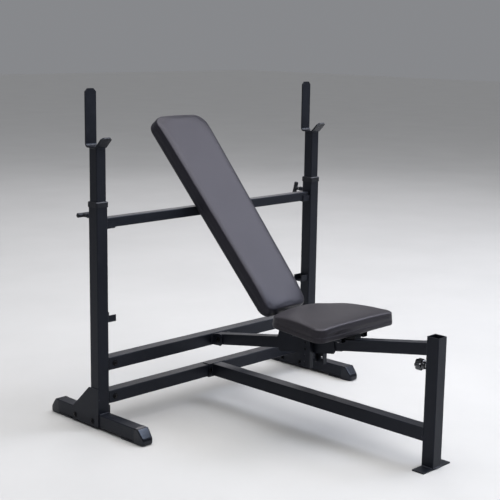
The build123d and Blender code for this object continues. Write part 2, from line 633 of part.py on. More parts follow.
# ---- saddle, seat guides and seat ----------------------------------------------------------
def pad_saddle():
    """Folded channel over the main beam with the two hinge ears at its rear end."""
    top = BEAM_TUBE / 2
    low = -BEAM_TUBE / 2 - SADDLE_DROP
    sides = outline(beam_point(SADDLE_REAR, low + 8), beam_point(SADDLE_REAR, top + PLATE),
                    beam_point(SADDLE_FRONT, top + PLATE), beam_point(SADDLE_FRONT, low + 8),
                    beam_point(SADDLE_FRONT - 8, low), beam_point(SADDLE_REAR + 8, low))
    hinge = (ahead(HINGE_Y), HINGE_Z)
    ear = outline(beam_point(HINGE_Y - ARM_BOSS_R - 10, top), (hinge[0] + ARM_BOSS_R, hinge[1]),
                  (hinge[0] - ARM_BOSS_R, hinge[1]), beam_point(HINGE_Y + 3 * ARM_BOSS_R, top))
    cheek = sides + ear + disc(hinge, ARM_BOSS_R) - disc(hinge, HINGE_R + HINGE_CLEARANCE)
    shape = side_plate(cheek, SADDLE_SIDE, SADDLE_OUTER) + side_plate(cheek, -SADDLE_OUTER, -SADDLE_SIDE)
    lid = outline(beam_point(SADDLE_REAR, top), beam_point(SADDLE_REAR, top + PLATE),
                  beam_point(SADDLE_FRONT, top + PLATE), beam_point(SADDLE_FRONT, top))
    return shape + side_plate(lid, -SADDLE_OUTER, SADDLE_OUTER)


def seat_guide(side):
    """Block on the saddle's cheek that the seat post's channel slides on."""
    half = SEAT_POST_WIDTH / 2 - THIN_PLATE - GUIDE_GAP
    y, z = beam_point(SEAT_POST_Y)
    x = between(side, SADDLE_OUTER, SEAT_POST_WEB - GUIDE_GAP)
    shape = block(x, (y - half, y + half), (z - 28, z + 26))
    if side > 0:
        shape -= rod((SADDLE_OUTER + 3, y, SEAT_HOLE_TOP), (1, 0, 0), NOSE_R + NOSE_CLEARANCE, TUBE)
    return shape


def seat_pin_bracket():
    """Folded strap from the saddle's right cheek round the seat post, which holds the seat pin."""
    y = ahead(SEAT_POST_Y)
    post_front = y - SEAT_POST_WIDTH / 2
    face = SEAT_POST_WEB + 2 * THIN_PLATE
    z = (SEAT_HOLE_TOP - 16, SEAT_HOLE_TOP + 16)
    shape = block((SADDLE_OUTER, SADDLE_OUTER + PLATE), (post_front - 44, post_front - 6), z)
    shape += block((SADDLE_OUTER, face + PLATE), (post_front - 10, post_front - 6), z)
    shape += block((face, face + PLATE), (post_front - 10, y + 16), z)
    return shape - rod((face - 1, y, SEAT_HOLE_TOP), (1, 0, 0), NOSE_R + NOSE_CLEARANCE, PLATE + 2)


def seat_rest_block():
    """Rubber block on the main beam that the seat board rests on at its lowest setting."""
    rear, front = REST_BLOCK
    top = SEAT_RAIL_TOP - SLIDE_GAP
    offset = BEAM_TUBE / 2
    half = BEAM_TUBE / 2 - CORNER
    shape = outline(beam_point(rear, offset), (beam_point(rear, offset)[0], top),
                    (beam_point(front, offset)[0], top), beam_point(front, offset))
    return side_plate(shape, -half, half)


def tapered_pad(start, end, start_half, end_half, start_corner, end_corner):
    """Flat outline with straight sides that widen from start to end and round corners."""
    face = outline((-start_half, start), (start_half, start), (end_half, end), (-end_half, end))
    corners = face.vertices().sort_by(Axis.Y)
    near, far = (corners[:2], corners[2:]) if start < end else (corners[2:], corners[:2])
    face = fillet(near, start_corner)
    far_points = [vertex for vertex in face.vertices() if abs(vertex.Y - end) < 1e-6]
    return fillet(far_points, end_corner)


def seat_outline(inset=0.0):
    """The seat's plan outline, drawn in by an inset."""
    return tapered_pad(ahead(SEAT_REAR) - inset, ahead(SEAT_FRONT) + inset, SEAT_REAR_HALF - inset,
                       SEAT_FRONT_HALF - inset, SEAT_REAR_CORNER - inset, SEAT_FRONT_CORNER - inset)


def seat_cushion():
    """Upholstered foam, as a plain solid."""
    foam = slab(seat_outline(), SEAT_TOP - SEAT_FOAM, SEAT_FOAM)
    return fillet(foam.faces().sort_by(Axis.Z)[-1].edges(), SEAT_ROUND)


def seat_screw_places():
    """(X, Y) of the screws that hold the seat board to its rails."""
    rows = (ahead(SEAT_RAIL_REAR + 22), ahead(SEAT_RAIL_FRONT - 22))
    return [(side * SEAT_RAIL_X, y) for side in (-1, 1) for y in rows]


def seat_board():
    """Plywood board under the foam, with pilot holes for the screws."""
    shape = slab(seat_outline(BOARD_INSET), SEAT_RAIL_TOP, BOARD)
    for x, y in seat_screw_places():
        shape -= rod((x, y, SEAT_RAIL_TOP), (0, 0, 1), SCREW_R, BOARD - 3)
    return shape


def seat_rail(side):
    """Square tube under the board."""
    start = (side * SEAT_RAIL_X, ahead(SEAT_RAIL_REAR), SEAT_RAIL_TOP - RAIL / 2)
    shape = tube(start, (0, -1, 0), RAIL, WALL, SEAT_RAIL_FRONT - SEAT_RAIL_REAR)
    for x, y in seat_screw_places():
        shape -= rod((x, y, SEAT_RAIL_TOP - 2 * RAIL), (0, 0, 1), SCREW_HOLE_R, 3 * RAIL)
    return shape


def seat_screw(place):
    """Round-headed screw up through a rail into the board."""
    head = rod((*place, SEAT_RAIL_TOP - RAIL - 2.5), (0, 0, 1), 2 * SCREW_R, 2.5)
    return head + rod((*place, SEAT_RAIL_TOP - RAIL), (0, 0, 1), SCREW_R, RAIL + BOARD - 3)


def seat_post(side):
    """Channel that hangs from the seat frame beside the saddle, with its row of height holes."""
    y = ahead(SEAT_POST_Y)
    half = SEAT_POST_WIDTH / 2
    z = (SEAT_POST_BOTTOM, SEAT_RAIL_TOP)
    outer = SEAT_POST_WEB + THIN_PLATE
    shape = block(between(side, SEAT_POST_WEB - SEAT_POST_FLANGE, outer), (y - half, y + half), z)
    shape -= block(between(side, SEAT_POST_WEB - SEAT_POST_FLANGE - 1, SEAT_POST_WEB),
                   (y - half + THIN_PLATE, y + half - THIN_PLATE), (z[0] - 1, z[1] + 1))
    for step in range(SEAT_HOLES):
        height = SEAT_HOLE_TOP - step * SEAT_HOLE_PITCH
        shape -= rod((side * SADDLE_OUTER, y, height), (side, 0, 0), NOSE_R + NOSE_CLEARANCE, TUBE)
    return shape


# ---- back pad ------------------------------------------------------------------------------
def back_place():
    """Turns pieces drawn flat about the hinge axis into the back pad's resting place."""
    return Pos(0, ahead(HINGE_Y), HINGE_Z) * Rot(back_angle(), 0, 0)


def back_outline(inset=0.0):
    """The back pad's outline along its length, drawn in by an inset."""
    return tapered_pad(BACK_START + inset, BACK_START + BACK_LENGTH - inset, BACK_LOW_HALF - inset,
                       BACK_TOP_HALF - inset, BACK_LOW_CORNER - inset, BACK_TOP_CORNER - inset)


def back_cushion():
    """Upholstered foam, as a plain solid."""
    foam = slab(back_outline(), BOARD_FACE, BACK_FOAM)
    return back_place() * fillet(foam.faces().sort_by(Axis.Z)[-1].edges(), BACK_ROUND)


def back_screw_places():
    """(X, distance from the hinge) of the screws that hold the back board to its rails."""
    rows = (BACK_RAIL_START + 60, BACK_RAIL_END - 60)
    return [(side * BACK_RAIL_X, row) for side in (-1, 1) for row in rows]


def back_board():
    """Plywood board under the foam, with pilot holes for the screws."""
    shape = slab(back_outline(BOARD_INSET), RAIL_FACE, BOARD)
    for x, row in back_screw_places():
        shape -= rod((x, row, RAIL_FACE), (0, 0, 1), SCREW_R, BOARD - 3)
    return back_place() * shape


def back_rail(side):
    """Flat rectangular tube behind the board, which rests on the support bar."""
    middle = RAIL_FACE - BACK_RAIL_DEPTH / 2
    plane = Plane(origin=(side * BACK_RAIL_X, BACK_RAIL_START, middle), x_dir=(1, 0, 0), z_dir=(0, 1, 0))
    ring = RectangleRounded(RAIL, BACK_RAIL_DEPTH, 2)
    ring -= Rectangle(RAIL - 2 * WALL, BACK_RAIL_DEPTH - 2 * WALL)
    shape = extrude(plane * ring, BACK_RAIL_END - BACK_RAIL_START)
    for x, row in back_screw_places():
        shape -= rod((x, row, RAIL_FACE - 2 * RAIL), (0, 0, 1), SCREW_HOLE_R, 3 * RAIL)
    return back_place() * shape


def back_hinge_arm(side):
    """Plate from the hinge bolt to the inner side of a back rail."""
    low = RAIL_FACE - BACK_RAIL_DEPTH
    shape = disc((0, 0), ARM_BOSS_R)
    board_start = BACK_START + BOARD_INSET
    shape += outline((0, -ARM_BOSS_R), (BACK_RAIL_START, low), (ARM_LENGTH, low), (ARM_LENGTH, RAIL_FACE),
                     (board_start - 1, RAIL_FACE), (0, ARM_BOSS_R))
    shape -= disc((0, 0), BUSH_R + BUSH_FIT)
    return back_place() * side_plate(shape, *between(side, ARM_X, ARM_X + PLATE))


def back_rail_brace():
    """Flat strap between the two rails near their upper ends."""
    inner = BACK_RAIL_X - RAIL / 2
    low = RAIL_FACE - BACK_RAIL_DEPTH
    rows = (BACK_RAIL_END - 130, BACK_RAIL_END - 90)
    return back_place() * block((-inner, inner), rows, (low + 3, low + 3 + PLATE))


def back_screw(place):
    """Round-headed screw through a rail into the back board."""
    start = RAIL_FACE - BACK_RAIL_DEPTH
    head = rod((*place, start - 2.5), (0, 0, 1), 2 * SCREW_R, 2.5)
    return back_place() * (head + rod((*place, start), (0, 0, 1), SCREW_R, BACK_RAIL_DEPTH + BOARD - 3))


def hinge_bush(side):
    """Plastic bush that turns on the hinge bolt."""
    low, high = between(side, ARM_X, ARM_X + PLATE)
    ring = disc((0, 0), BUSH_R) - disc((0, 0), HINGE_R + HINGE_CLEARANCE)
    return back_place() * side_plate(ring, low, high)


def hinge_bolt():
    """Cross bolt through the saddle's ears, with a flat round head on the left."""
    reach = ARM_X + PLATE + ARM_GAP
    point = (-reach, ahead(HINGE_Y), HINGE_Z)
    head = rod(point, (-1, 0, 0), DOME_R, DOME_H)
    head = chamfer(head.faces().sort_by(Axis.X)[0].edges(), 1.5)
    return head + rod(point, (1, 0, 0), HINGE_R, 2 * reach + NUT_H + 2)


# ---- post knob -----------------------------------------------------------------------------
def knob_plane(distance):
    """Plane square to the knob's axis, that far behind the post."""
    return Plane(origin=(0, POST_REAR_Y + distance, KNOB_Z), x_dir=(1, 0, 0), z_dir=(0, 1, 0))


def knob_boss():
    """Threaded boss welded to the post's rear face."""
    ring = Circle(KNOB_BOSS_R) - Circle(KNOB_STUD_R + HINGE_CLEARANCE)
    return extrude(knob_plane(0) * ring, KNOB_BOSS)


def post_knob_stud():
    """Steel stud and collar that turn with the knob."""
    start = KNOB_BOSS + 1
    length = POST_WALL + start + KNOB_COLLAR + KNOB_LENGTH / 2
    stud = extrude(knob_plane(-POST_WALL) * Circle(KNOB_STUD_R), length)
    return stud + extrude(knob_plane(start) * Circle(KNOB_COLLAR_R), KNOB_COLLAR)


def post_knob():
    """Lobed clamping knob."""
    start = KNOB_BOSS + 1 + KNOB_COLLAR
    shape = extrude(knob_plane(start) * Circle(KNOB_R), KNOB_LENGTH)
    for turn in range(KNOB_LOBES):
        angle = math.radians(360 / KNOB_LOBES * (turn + 0.5))
        flute = Pos(1.12 * KNOB_R * math.cos(angle), 1.12 * KNOB_R * math.sin(angle)) * Circle(0.24 * KNOB_R)
        shape -= extrude(knob_plane(start) * flute, KNOB_LENGTH)
    stud = extrude(knob_plane(start) * Circle(KNOB_STUD_R), KNOB_LENGTH / 2)
    return shape - stud


# ---- fasteners of the frame ----------------------------------------------------------------
def foot_bolts():
    """Four bolts through gusset, foot and gusset."""
    outer = UPRIGHT_X + TUBE / 2 + PLATE
    shank = outer - INNER_FACE_X + PLATE + NUT_H + 2
    return [dome_bolt((side * outer, UPRIGHT_Y + bolt, FOOT_BOLT_Z), (side, 0, 0), shank)
            for side in (-1, 1) for bolt in FOOT_BOLTS]


def foot_nuts():
    """Nuts of the foot bolts, on the inner gussets."""
    return [hex_nut((side * (INNER_FACE_X - PLATE), UPRIGHT_Y + bolt, FOOT_BOLT_Z), (-side, 0, 0))
            for side in (-1, 1) for bolt in FOOT_BOLTS]


def crossbar_bolt_places():
    """(X, Z, plate thickness under the head) of each crossbar bolt."""
    places = [(side * crossbar_bolt_x(), low + TUBE / 2, 0.0)
              for side in (-1, 1) for low in (LOWER_CROSSBAR_Z, UPPER_CROSSBAR_Z)]
    return places + [(side * BRACKET_BOLT_X, LOWER_CROSSBAR_Z + TUBE / 2, THIN_PLATE) for side in (-1, 1)]


def crossbar_bolts():
    """Round-headed bolts, front to back through the crossbars."""
    return [dome_bolt((x, UPRIGHT_Y - TUBE / 2 - under, z), (0, -1, 0), TUBE + under + NUT_H + 2)
            for x, z, under in crossbar_bolt_places()]


def crossbar_nuts():
    """Nuts behind the crossbars."""
    return [hex_nut((x, UPRIGHT_Y + TUBE / 2, z), (0, 1, 0)) for x, z, _ in crossbar_bolt_places()]


def main_beam_bolt():
    """Cross bolt through the two ears and the main beam."""
    return dome_bolt((-SADDLE_OUTER, *beam_point(BEAM_BOLT)), (-1, 0, 0), 2 * SADDLE_OUTER + NUT_H + 2)


def frame_nuts():
    """All nuts that stay with the frame."""
    beam_nut = hex_nut((SADDLE_OUTER, *beam_point(BEAM_BOLT)), (1, 0, 0))
    hinge_end = (ARM_X + PLATE + ARM_GAP, ahead(HINGE_Y), HINGE_Z)
    hinge_nut = hex_nut(hinge_end, (1, 0, 0), HINGE_R + NUT_CLEARANCE)
    return foot_nuts() + crossbar_nuts() + [beam_nut, hinge_nut]


def make_nodes():
    """Every sub-part by name."""
    nodes = {
        "foot_tubes": both_sides(foot_tube),
        "foot_caps": Compound([foot_cap(side, end) for side in (-1, 1) for end in (-1, 1)]),
        "upright_collars": both_sides(upright_collar),
        "outer_gussets": both_sides(outer_gusset),
        "inner_gussets": both_sides(inner_gusset),
        "crossbar_stubs": Compound([crossbar_stub(side, low) for side in (-1, 1)
                                    for low in (LOWER_CROSSBAR_Z, UPPER_CROSSBAR_Z)]),
        "upper_crossbar": crossbar(UPPER_CROSSBAR_Z),
        "lower_crossbar": crossbar(LOWER_CROSSBAR_Z, (-BRACKET_BOLT_X, BRACKET_BOLT_X)),
        "upper_cradles": both_sides(lambda side: cradle(side, UPPER_CRADLE_Z)),
        "lower_cradles": both_sides(lambda side: cradle(side, LOWER_CRADLE_Z)),
        "front_post": front_post(),
        "post_base_plate": post_base_plate(),
        "lower_beam": lower_beam(),
        "lower_beam_bracket": lower_beam_bracket(),
        "main_beam": main_beam(),
        "main_beam_bracket": both_sides(main_beam_ear),
        "pad_saddle": pad_saddle(),
        "seat_guides": both_sides(seat_guide),
        "seat_pin_bracket": seat_pin_bracket(),
        "seat_rest_block": seat_rest_block(),
        "foot_bolts": Compound(foot_bolts()),
        "crossbar_bolts": Compound(crossbar_bolts()),
        "main_beam_bolt": main_beam_bolt(),
        "frame_nuts": Compound(frame_nuts()),
        "hinge_bolt": hinge_bolt(),
        "pin_housings": Compound([pin_housing(name) for name in ("left", "right", "seat")]),
        "pin_springs": Compound([pin_spring(name) for name in ("left", "right", "seat")]),
        "knob_boss": knob_boss(),
        "seat_cushion": seat_cushion(),
        "seat_board": seat_board(),
        "seat_rails": both_sides(seat_rail),
        "seat_screws": Compound([seat_screw(place) for place in seat_screw_places()]),
        "back_cushion": back_cushion(),
        "back_board": back_board(),
        "back_hinge_arms": both_sides(back_hinge_arm),
        "back_rail_brace": back_rail_brace(),
        "back_screws": Compound([back_screw(place) for place in back_screw_places()]),
        "hinge_bushes": both_sides(hinge_bush),
        "support_bar": support_bar(),
        "support_bar_plugs": both_sides(support_bar_plug),
        "post_knob": post_knob(),
        "post_knob_stud": post_knob_stud(),
    }
    for name, side in (("left", -1), ("right", 1)):
        nodes[f"{name}_upright"] = upright(side)
        nodes[f"{name}_inner_upright"] = inner_upright(side)
        nodes[f"{name}_inner_glide"] = inner_glide(side)
        nodes[f"{name}_bar_holder"] = bar_holder(side)
        nodes[f"{name}_seat_post"] = seat_post(side)
        nodes[f"{name}_back_rail"] = back_rail(side)
    for name, turn in (("left", 0), ("right", RIGHT_HANDLE_TURN), ("seat", 0)):
        nodes[f"{name}_pin_plunger"] = pin_plunger(name)
        nodes[f"{name}_pin_handle"] = pin_handle(name, turn)
    return nodes


os.makedirs("parts", exist_ok=True)
for node_name, node_shape in make_nodes().items():
    export_step(node_shape, f"parts/{node_name}.step")
print("back pad angle", round(back_angle(), 2), "degrees")
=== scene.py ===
# %% [markdown]
# # An olympic bench press
# The welded frame, the tubes and the moving parts are already exact, so this lesson starts by
# loading them. What is left to make is everything that gives the bench its looks: upholstery,
# moulded caps and grips, weld beads, washers, finishes, light and a camera.

# %% Load the frame
import json
import math

import bmesh
import bpy
import numpy as np
from mathutils import Matrix, Vector


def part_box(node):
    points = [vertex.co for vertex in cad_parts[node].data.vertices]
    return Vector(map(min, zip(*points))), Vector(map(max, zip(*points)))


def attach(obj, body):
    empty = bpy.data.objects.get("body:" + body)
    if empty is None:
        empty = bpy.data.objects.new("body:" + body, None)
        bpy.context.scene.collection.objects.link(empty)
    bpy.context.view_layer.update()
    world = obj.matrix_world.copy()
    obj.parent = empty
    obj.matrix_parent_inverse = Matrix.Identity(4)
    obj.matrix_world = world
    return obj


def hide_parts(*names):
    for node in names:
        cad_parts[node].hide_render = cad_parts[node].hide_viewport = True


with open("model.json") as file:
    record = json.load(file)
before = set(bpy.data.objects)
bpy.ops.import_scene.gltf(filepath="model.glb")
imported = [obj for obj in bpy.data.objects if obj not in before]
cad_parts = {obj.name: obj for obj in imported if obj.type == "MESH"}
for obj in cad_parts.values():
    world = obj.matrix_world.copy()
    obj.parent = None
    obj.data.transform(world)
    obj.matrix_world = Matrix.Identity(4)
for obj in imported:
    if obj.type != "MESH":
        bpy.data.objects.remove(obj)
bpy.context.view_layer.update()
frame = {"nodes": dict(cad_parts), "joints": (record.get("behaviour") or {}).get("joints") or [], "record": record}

# %% [markdown]
# Most places used below are read from the frame, so a new piece lands where the real one is
# bolted. A small helper turns a node's box into two arrays, and the few sizes that many pieces
# share get names here.

# %% Places and sizes read from the frame
def node_box(node):
    """Lowest and highest corner of a node as arrays, in metres."""
    low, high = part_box(node)
    return np.array(low), np.array(high)


MM = 0.001
upright_low, upright_high = node_box("right_upright")
TUBE = upright_high[0] - upright_low[0]
UPRIGHT_X = (upright_high[0] + upright_low[0]) / 2
UPRIGHT_Y = (upright_high[1] + upright_low[1]) / 2
FOOT_TOP = upright_low[2]
HALF_TUBE = TUBE / 2
POST_LOW, POST_HIGH = node_box("front_post")
POST_Y = (POST_LOW[1] + POST_HIGH[1]) / 2
SIDES = {"left": -1, "right": 1}
print("uprights at x", round(UPRIGHT_X, 4), "y", round(UPRIGHT_Y, 4))

# %% [markdown]
# Most new pieces are surfaces on a grid: rows run along the piece and columns go round it.
# One function closes both ends of such a grid with a fan and makes the mesh, so a grip, a cap
# or a weld bead only has to say where its rings of points are.

# %% Surfaces from rings of points
def ring_faces(rows, columns, start):
    """Quads between neighbouring rings, where the last column joins the first."""
    row = np.arange(rows - 1)[:, None] * columns
    column = np.arange(columns)[None, :]
    after = (column + 1) % columns
    corners = [row + column, row + after, row + columns + after, row + columns + column]
    return start + np.stack(corners, axis=-1).reshape(-1, 4)


def fan_faces(ring_start, columns, centre):
    """Triangles from one ring to a centre point."""
    column = np.arange(columns)
    after = (column + 1) % columns
    return np.stack([ring_start + column, ring_start + after, np.full(columns, centre)], axis=-1)


def closed_mesh(name, points, faces):
    """A mesh of closed shells, with every face turned outwards."""
    mesh = bpy.data.meshes.new(name)
    mesh.from_pydata(np.concatenate(points).tolist(), [], faces)
    outward = bmesh.new()
    outward.from_mesh(mesh)
    bmesh.ops.recalc_face_normals(outward, faces=outward.faces)
    outward.to_mesh(mesh)
    outward.free()
    return mesh


def shell_mesh(name, shells):
    """One mesh of several closed shells, each an array of rings (rows, columns, 3)."""
    points, faces, start = [], [], 0
    for rings in shells:
        rows, columns, _ = rings.shape
        count = rows * columns
        points += [rings.reshape(-1, 3), rings[0].mean(0)[None], rings[-1].mean(0)[None]]
        faces += ring_faces(rows, columns, start).tolist()
        faces += fan_faces(start, columns, start + count).tolist()
        faces += fan_faces(start + count - columns, columns, start + count + 1).tolist()
        start += count + 2
    return closed_mesh(name, points, faces)


def add_piece(name, mesh, material, body, replaced=(), crease=40):
    """Puts a mesh in the scene, smooth up to a crease angle, on the body it moves with."""
    mesh.polygons.foreach_set("use_smooth", [True] * len(mesh.polygons))
    mesh.set_sharp_from_angle(angle=math.radians(crease))
    piece = bpy.data.objects.new(name, mesh)
    bpy.context.scene.collection.objects.link(piece)
    mesh.materials.clear()
    mesh.materials.append(material)
    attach(piece, body)
    if replaced:
        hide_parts(*replaced)
    print(name, len(mesh.polygons), "faces on", body)
    return piece


def add_shells(name, shells, material, body, replaced=(), crease=40):
    """Puts closed shells in the scene as one piece."""
    return add_piece(name, shell_mesh(name, shells), material, body, replaced, crease)


print("three rings of eight points make", len(ring_faces(3, 8, 0)), "quads")

# %% [markdown]
# A lathe piece is a profile turned about an axis. The profile lists how far along the axis each
# ring is and how wide it is, and the ring's own circle comes from a cosine and a sine.

# %% Lathe shapes
def axis_frame(direction):
    """Two unit vectors square to a direction and to each other."""
    along = np.array(direction, float) / np.linalg.norm(direction)
    helper = np.array([0.0, 0.0, 1.0]) if abs(along[2]) < 0.9 else np.array([1.0, 0.0, 0.0])
    first = np.cross(helper, along)
    first /= np.linalg.norm(first)
    return along, first, np.cross(along, first)


def lathe(origin, direction, along, radius, columns=48):
    """Rings at origin + along * axis + radius * (cos, sin) about the axis.

    radius may be one number per ring or one per ring and column.
    """
    axis, first, second = axis_frame(direction)
    turn = np.linspace(0, 2 * np.pi, columns, endpoint=False)
    circle = np.cos(turn)[:, None] * first + np.sin(turn)[:, None] * second
    radius = np.broadcast_to(np.reshape(radius, (len(along), -1)), (len(along), columns))
    centres = np.array(origin) + np.asarray(along)[:, None] * axis
    return centres[:, None, :] + radius[:, :, None] * circle[None]


def rounded_profile(length, radius, corner, steps=8):
    """(along, radius) of a bar whose two ends are rounded by a quarter circle."""
    quarter = np.linspace(0, np.pi / 2, steps)
    start = corner * (1 - np.cos(quarter))
    rise = radius - corner + corner * np.sin(quarter)
    along = np.concatenate([start, length - start[::-1]])
    return along, np.concatenate([rise, rise[::-1]])


print("a bar with round ends has", len(rounded_profile(60 * MM, 9 * MM, 2 * MM)[0]), "rings")

# %% [markdown]
# ## Finishes
# Shader maths reads best as ordinary arithmetic. Wire wraps a node's output and adds a Math node
# for each operator; Finish holds a material and has the one method that makes every node.

# %% Wires and finishes
class Wire:
    """A node output that can be added, subtracted and multiplied like a number."""

    def __init__(self, finish, socket):
        self.finish = finish
        self.socket = socket

    def _with(self, operation, other, swapped=False):
        pair = (other, self) if swapped else (self, other)
        return self.finish.math(operation, *pair)

    def __add__(self, other):
        return self._with("ADD", other)

    def __radd__(self, other):
        return self._with("ADD", other, True)

    def __sub__(self, other):
        return self._with("SUBTRACT", other)

    def __rsub__(self, other):
        return self._with("SUBTRACT", other, True)

    def __mul__(self, other):
        return self._with("MULTIPLY", other)

    def __rmul__(self, other):
        return self._with("MULTIPLY", other, True)


class Finish:
    """A material with one shader, whose nodes all come from node()."""

    def __init__(self, name):
        self.material = bpy.data.materials.new(name)
        self.material.use_nodes = True
        self.tree = self.material.node_tree
        self.shader = self.tree.nodes["Principled BSDF"]
        self.place = self.node("ShaderNodeTexCoord", "Object")

    def node(self, kind, output, settings=None, sockets=None):
        """Adds a node: first its settings and ramp stops, then its sockets by name or number."""
        made = self.tree.nodes.new(kind)
        for key, value in (settings or {}).items():
            if key == "stops":
                ramp = made.color_ramp.elements
                for index, (position, level) in enumerate(value):
                    stop = ramp[index] if index < 2 else ramp.new(position)
                    stop.position = position
                    stop.color = (level, level, level, 1)
            else:
                setattr(made, key, value)
        for key, value in (sockets or {}).items():
            self.fill(made.inputs[key], value)
        return Wire(self, made.outputs[output])

    def fill(self, socket, value):
        """Links a wire to a socket, or sets its own value; a colour of three parts is opaque."""
        if isinstance(value, Wire):
            self.tree.links.new(value.socket, socket)
        elif socket.type == "RGBA" and len(value) == 3:
            socket.default_value = (*value, 1)
        else:
            socket.default_value = value

    def math(self, operation, first, second):
        """One Math node on two wires or numbers."""
        return self.node("ShaderNodeMath", 0, {"operation": operation}, {0: first, 1: second})

    def noise(self, scale, detail=3.0, roughness=0.55, place=None):
        """Cloudy noise with features of about one over scale metres."""
        sockets = {"Vector": place or self.place, "Scale": scale, "Detail": detail,
                   "Roughness": roughness}
        return self.node("ShaderNodeTexNoise", "Fac", None, sockets)

    def mix(self, mask, first, second):
        """A colour that goes from first to second as the mask goes from 0 to 1."""
        return self.node("ShaderNodeMix", 2, {"data_type": "RGBA"}, {0: mask, 6: first, 7: second})

    def stretched(self, scale):
        """Object coordinates multiplied axis by axis, for streaks."""
        return self.node("ShaderNodeMapping", "Vector", None, {"Vector": self.place, "Scale": scale})

    def ramp(self, wire, *stops):
        """Remaps a wire through grey stops of (position, level)."""
        return self.node("ShaderNodeValToRGB", "Color", {"stops": stops}, {"Fac": wire})

    def bump(self, height, depth, strength=1.0, normal=None):
        """A Bump node that is depth metres high, on top of an earlier one if given."""
        sockets = {"Height": height, "Distance": depth, "Strength": strength}
        if normal is not None:
            sockets["Normal"] = normal
        return self.node("ShaderNodeBump", "Normal", None, sockets)

    def set(self, **values):
        """Fills the shader's own sockets and returns the material."""
        for key, value in values.items():
            self.fill(self.shader.inputs[key.replace("_", " ")], value)
        print(self.material.name, "has", len(self.tree.nodes), "nodes")
        return self.material


# %% [markdown]
# The frame is powder coated: a thick, even skin, nearly black with a little blue, whose surface
# has a fine orange-peel texture. The texture catches the light more than the colour does, so it
# gets two sizes of bump and a roughness that drifts slowly along the tubes.

# %% Powder coat
COAT_DARK = (0.0040, 0.0047, 0.0076)
COAT_LIGHT = (0.0066, 0.0076, 0.0116)
COAT_SPECULAR = 0.24
COAT_TINT = (0.80, 0.86, 1.0)


def powder_coat(name, dark, light, roughness=0.4):
    """Satin paint with orange peel, slow tone changes and a few dusty patches."""
    finish = Finish(name)
    drift = finish.noise(7.0, 4.0)
    dust = finish.ramp(finish.noise(26.0, 6.0, 0.65), (0.52, 0.0), (0.74, 1.0))
    colour = finish.mix(drift, dark, light)
    colour = finish.mix(dust * 0.12, colour, (0.03, 0.03, 0.034))
    peel = finish.noise(900.0, 2.0, 0.5)
    grain = finish.noise(2600.0, 1.0, 0.4)
    normal = finish.bump(peel, 0.00025, 0.6, finish.bump(grain, 0.00008, 0.5))
    rough = roughness - 0.06 + 0.1 * drift + 0.1 * dust
    return finish.set(Base_Color=colour, Roughness=rough, Normal=normal,
                      Specular_IOR_Level=COAT_SPECULAR, Specular_Tint=COAT_TINT)


frame_coat = powder_coat("powder_coat", COAT_DARK, COAT_LIGHT)
# The weld beads carry the same paint as the frame. Their three to four times lighter colour is a painted highlight
# for the reflection on their curved ripples.
bead_coat_painted_highlight = powder_coat("bead_coat_painted_highlight", (0.0150, 0.0162, 0.0215), (0.0240, 0.0256, 0.0330), 0.25)

# %% [markdown]
# The inner uprights slide inside plastic collars each time the height is changed, which leaves
# faint upright scratches in the same coat. A noise stretched along Z gives the streaks.

# %% Coat that has slid
def slid_coat():
    """Powder coat with faint lengthwise rubbing marks."""
    finish = Finish("slid_powder_coat")
    drift = finish.noise(7.0, 4.0)
    streak = finish.noise(1.0, 3.0, 0.6, finish.stretched((700.0, 700.0, 9.0)))
    rubbed = finish.ramp(streak, (0.58, 0.0), (0.72, 1.0))
    colour = finish.mix(drift, COAT_DARK, COAT_LIGHT)
    colour = finish.mix(rubbed * 0.3, colour, (0.045, 0.045, 0.05))
    peel = finish.noise(900.0, 2.0, 0.5)
    normal = finish.bump(peel, 0.0002, 0.5, finish.bump(rubbed, -0.00004, 0.4))
    return finish.set(Base_Color=colour, Roughness=0.4 - 0.1 * rubbed, Normal=normal,
                      Specular_IOR_Level=COAT_SPECULAR, Specular_Tint=COAT_TINT)


sliding_coat = slid_coat()

# %% [markdown]
# The pads are covered in vinyl with a pressed leather grain: small rounded cells with creases
# between them. A Voronoi texture's distance to its cell edges is exactly that relief. The skin
# is dull, with a broad soft highlight, and the creases are painted darker than the cells, as painted shade.

# %% Grained vinyl
def grained_vinyl(name, deep, worn, roughness):
    """Pressed leather grain on a soft plastic skin."""
    finish = Finish(name)
    cells = finish.node("ShaderNodeTexVoronoi", "Distance", {"feature": "DISTANCE_TO_EDGE"},
                        {"Vector": finish.place, "Scale": 430.0, "Randomness": 1.0})
    grain = finish.ramp(cells, (0.0, 0.0), (0.28, 1.0))
    fine = finish.noise(2200.0, 2.0)
    wrinkle = finish.noise(60.0, 5.0, 0.6)
    drift = finish.noise(5.0, 3.0)
    colour = finish.mix(drift, deep, worn)
    # Painted shade: the creases between the grain's cells are mixed towards a darker copy of the vinyl's own
    # colour.
    colour = finish.mix((1.0 - grain) * 0.35, colour, tuple(0.55 * part for part in deep))
    normal = finish.bump(wrinkle, 0.0007, 0.35)
    normal = finish.bump(grain, 0.00018, 0.7, finish.bump(fine, 0.00005, 0.5, normal))
    rough = roughness + 0.08 * drift - 0.06 * grain
    return finish.set(Base_Color=colour, Roughness=rough, Normal=normal,
                      Specular_IOR_Level=0.3, Specular_Tint=(0.90, 0.87, 1.0))


back_vinyl = grained_vinyl("back_vinyl", (0.0100, 0.0098, 0.0140), (0.0140, 0.0136, 0.0190), 0.42)
seat_vinyl = grained_vinyl("seat_vinyl", (0.0150, 0.0136, 0.0165), (0.0200, 0.0182, 0.0215), 0.42)

# %% [markdown]
# Moulded parts differ from paint by their smoothness: a polished tool leaves the foot caps and
# the knob shiny, and a spark-eroded one leaves a fine even texture on collars and plugs.

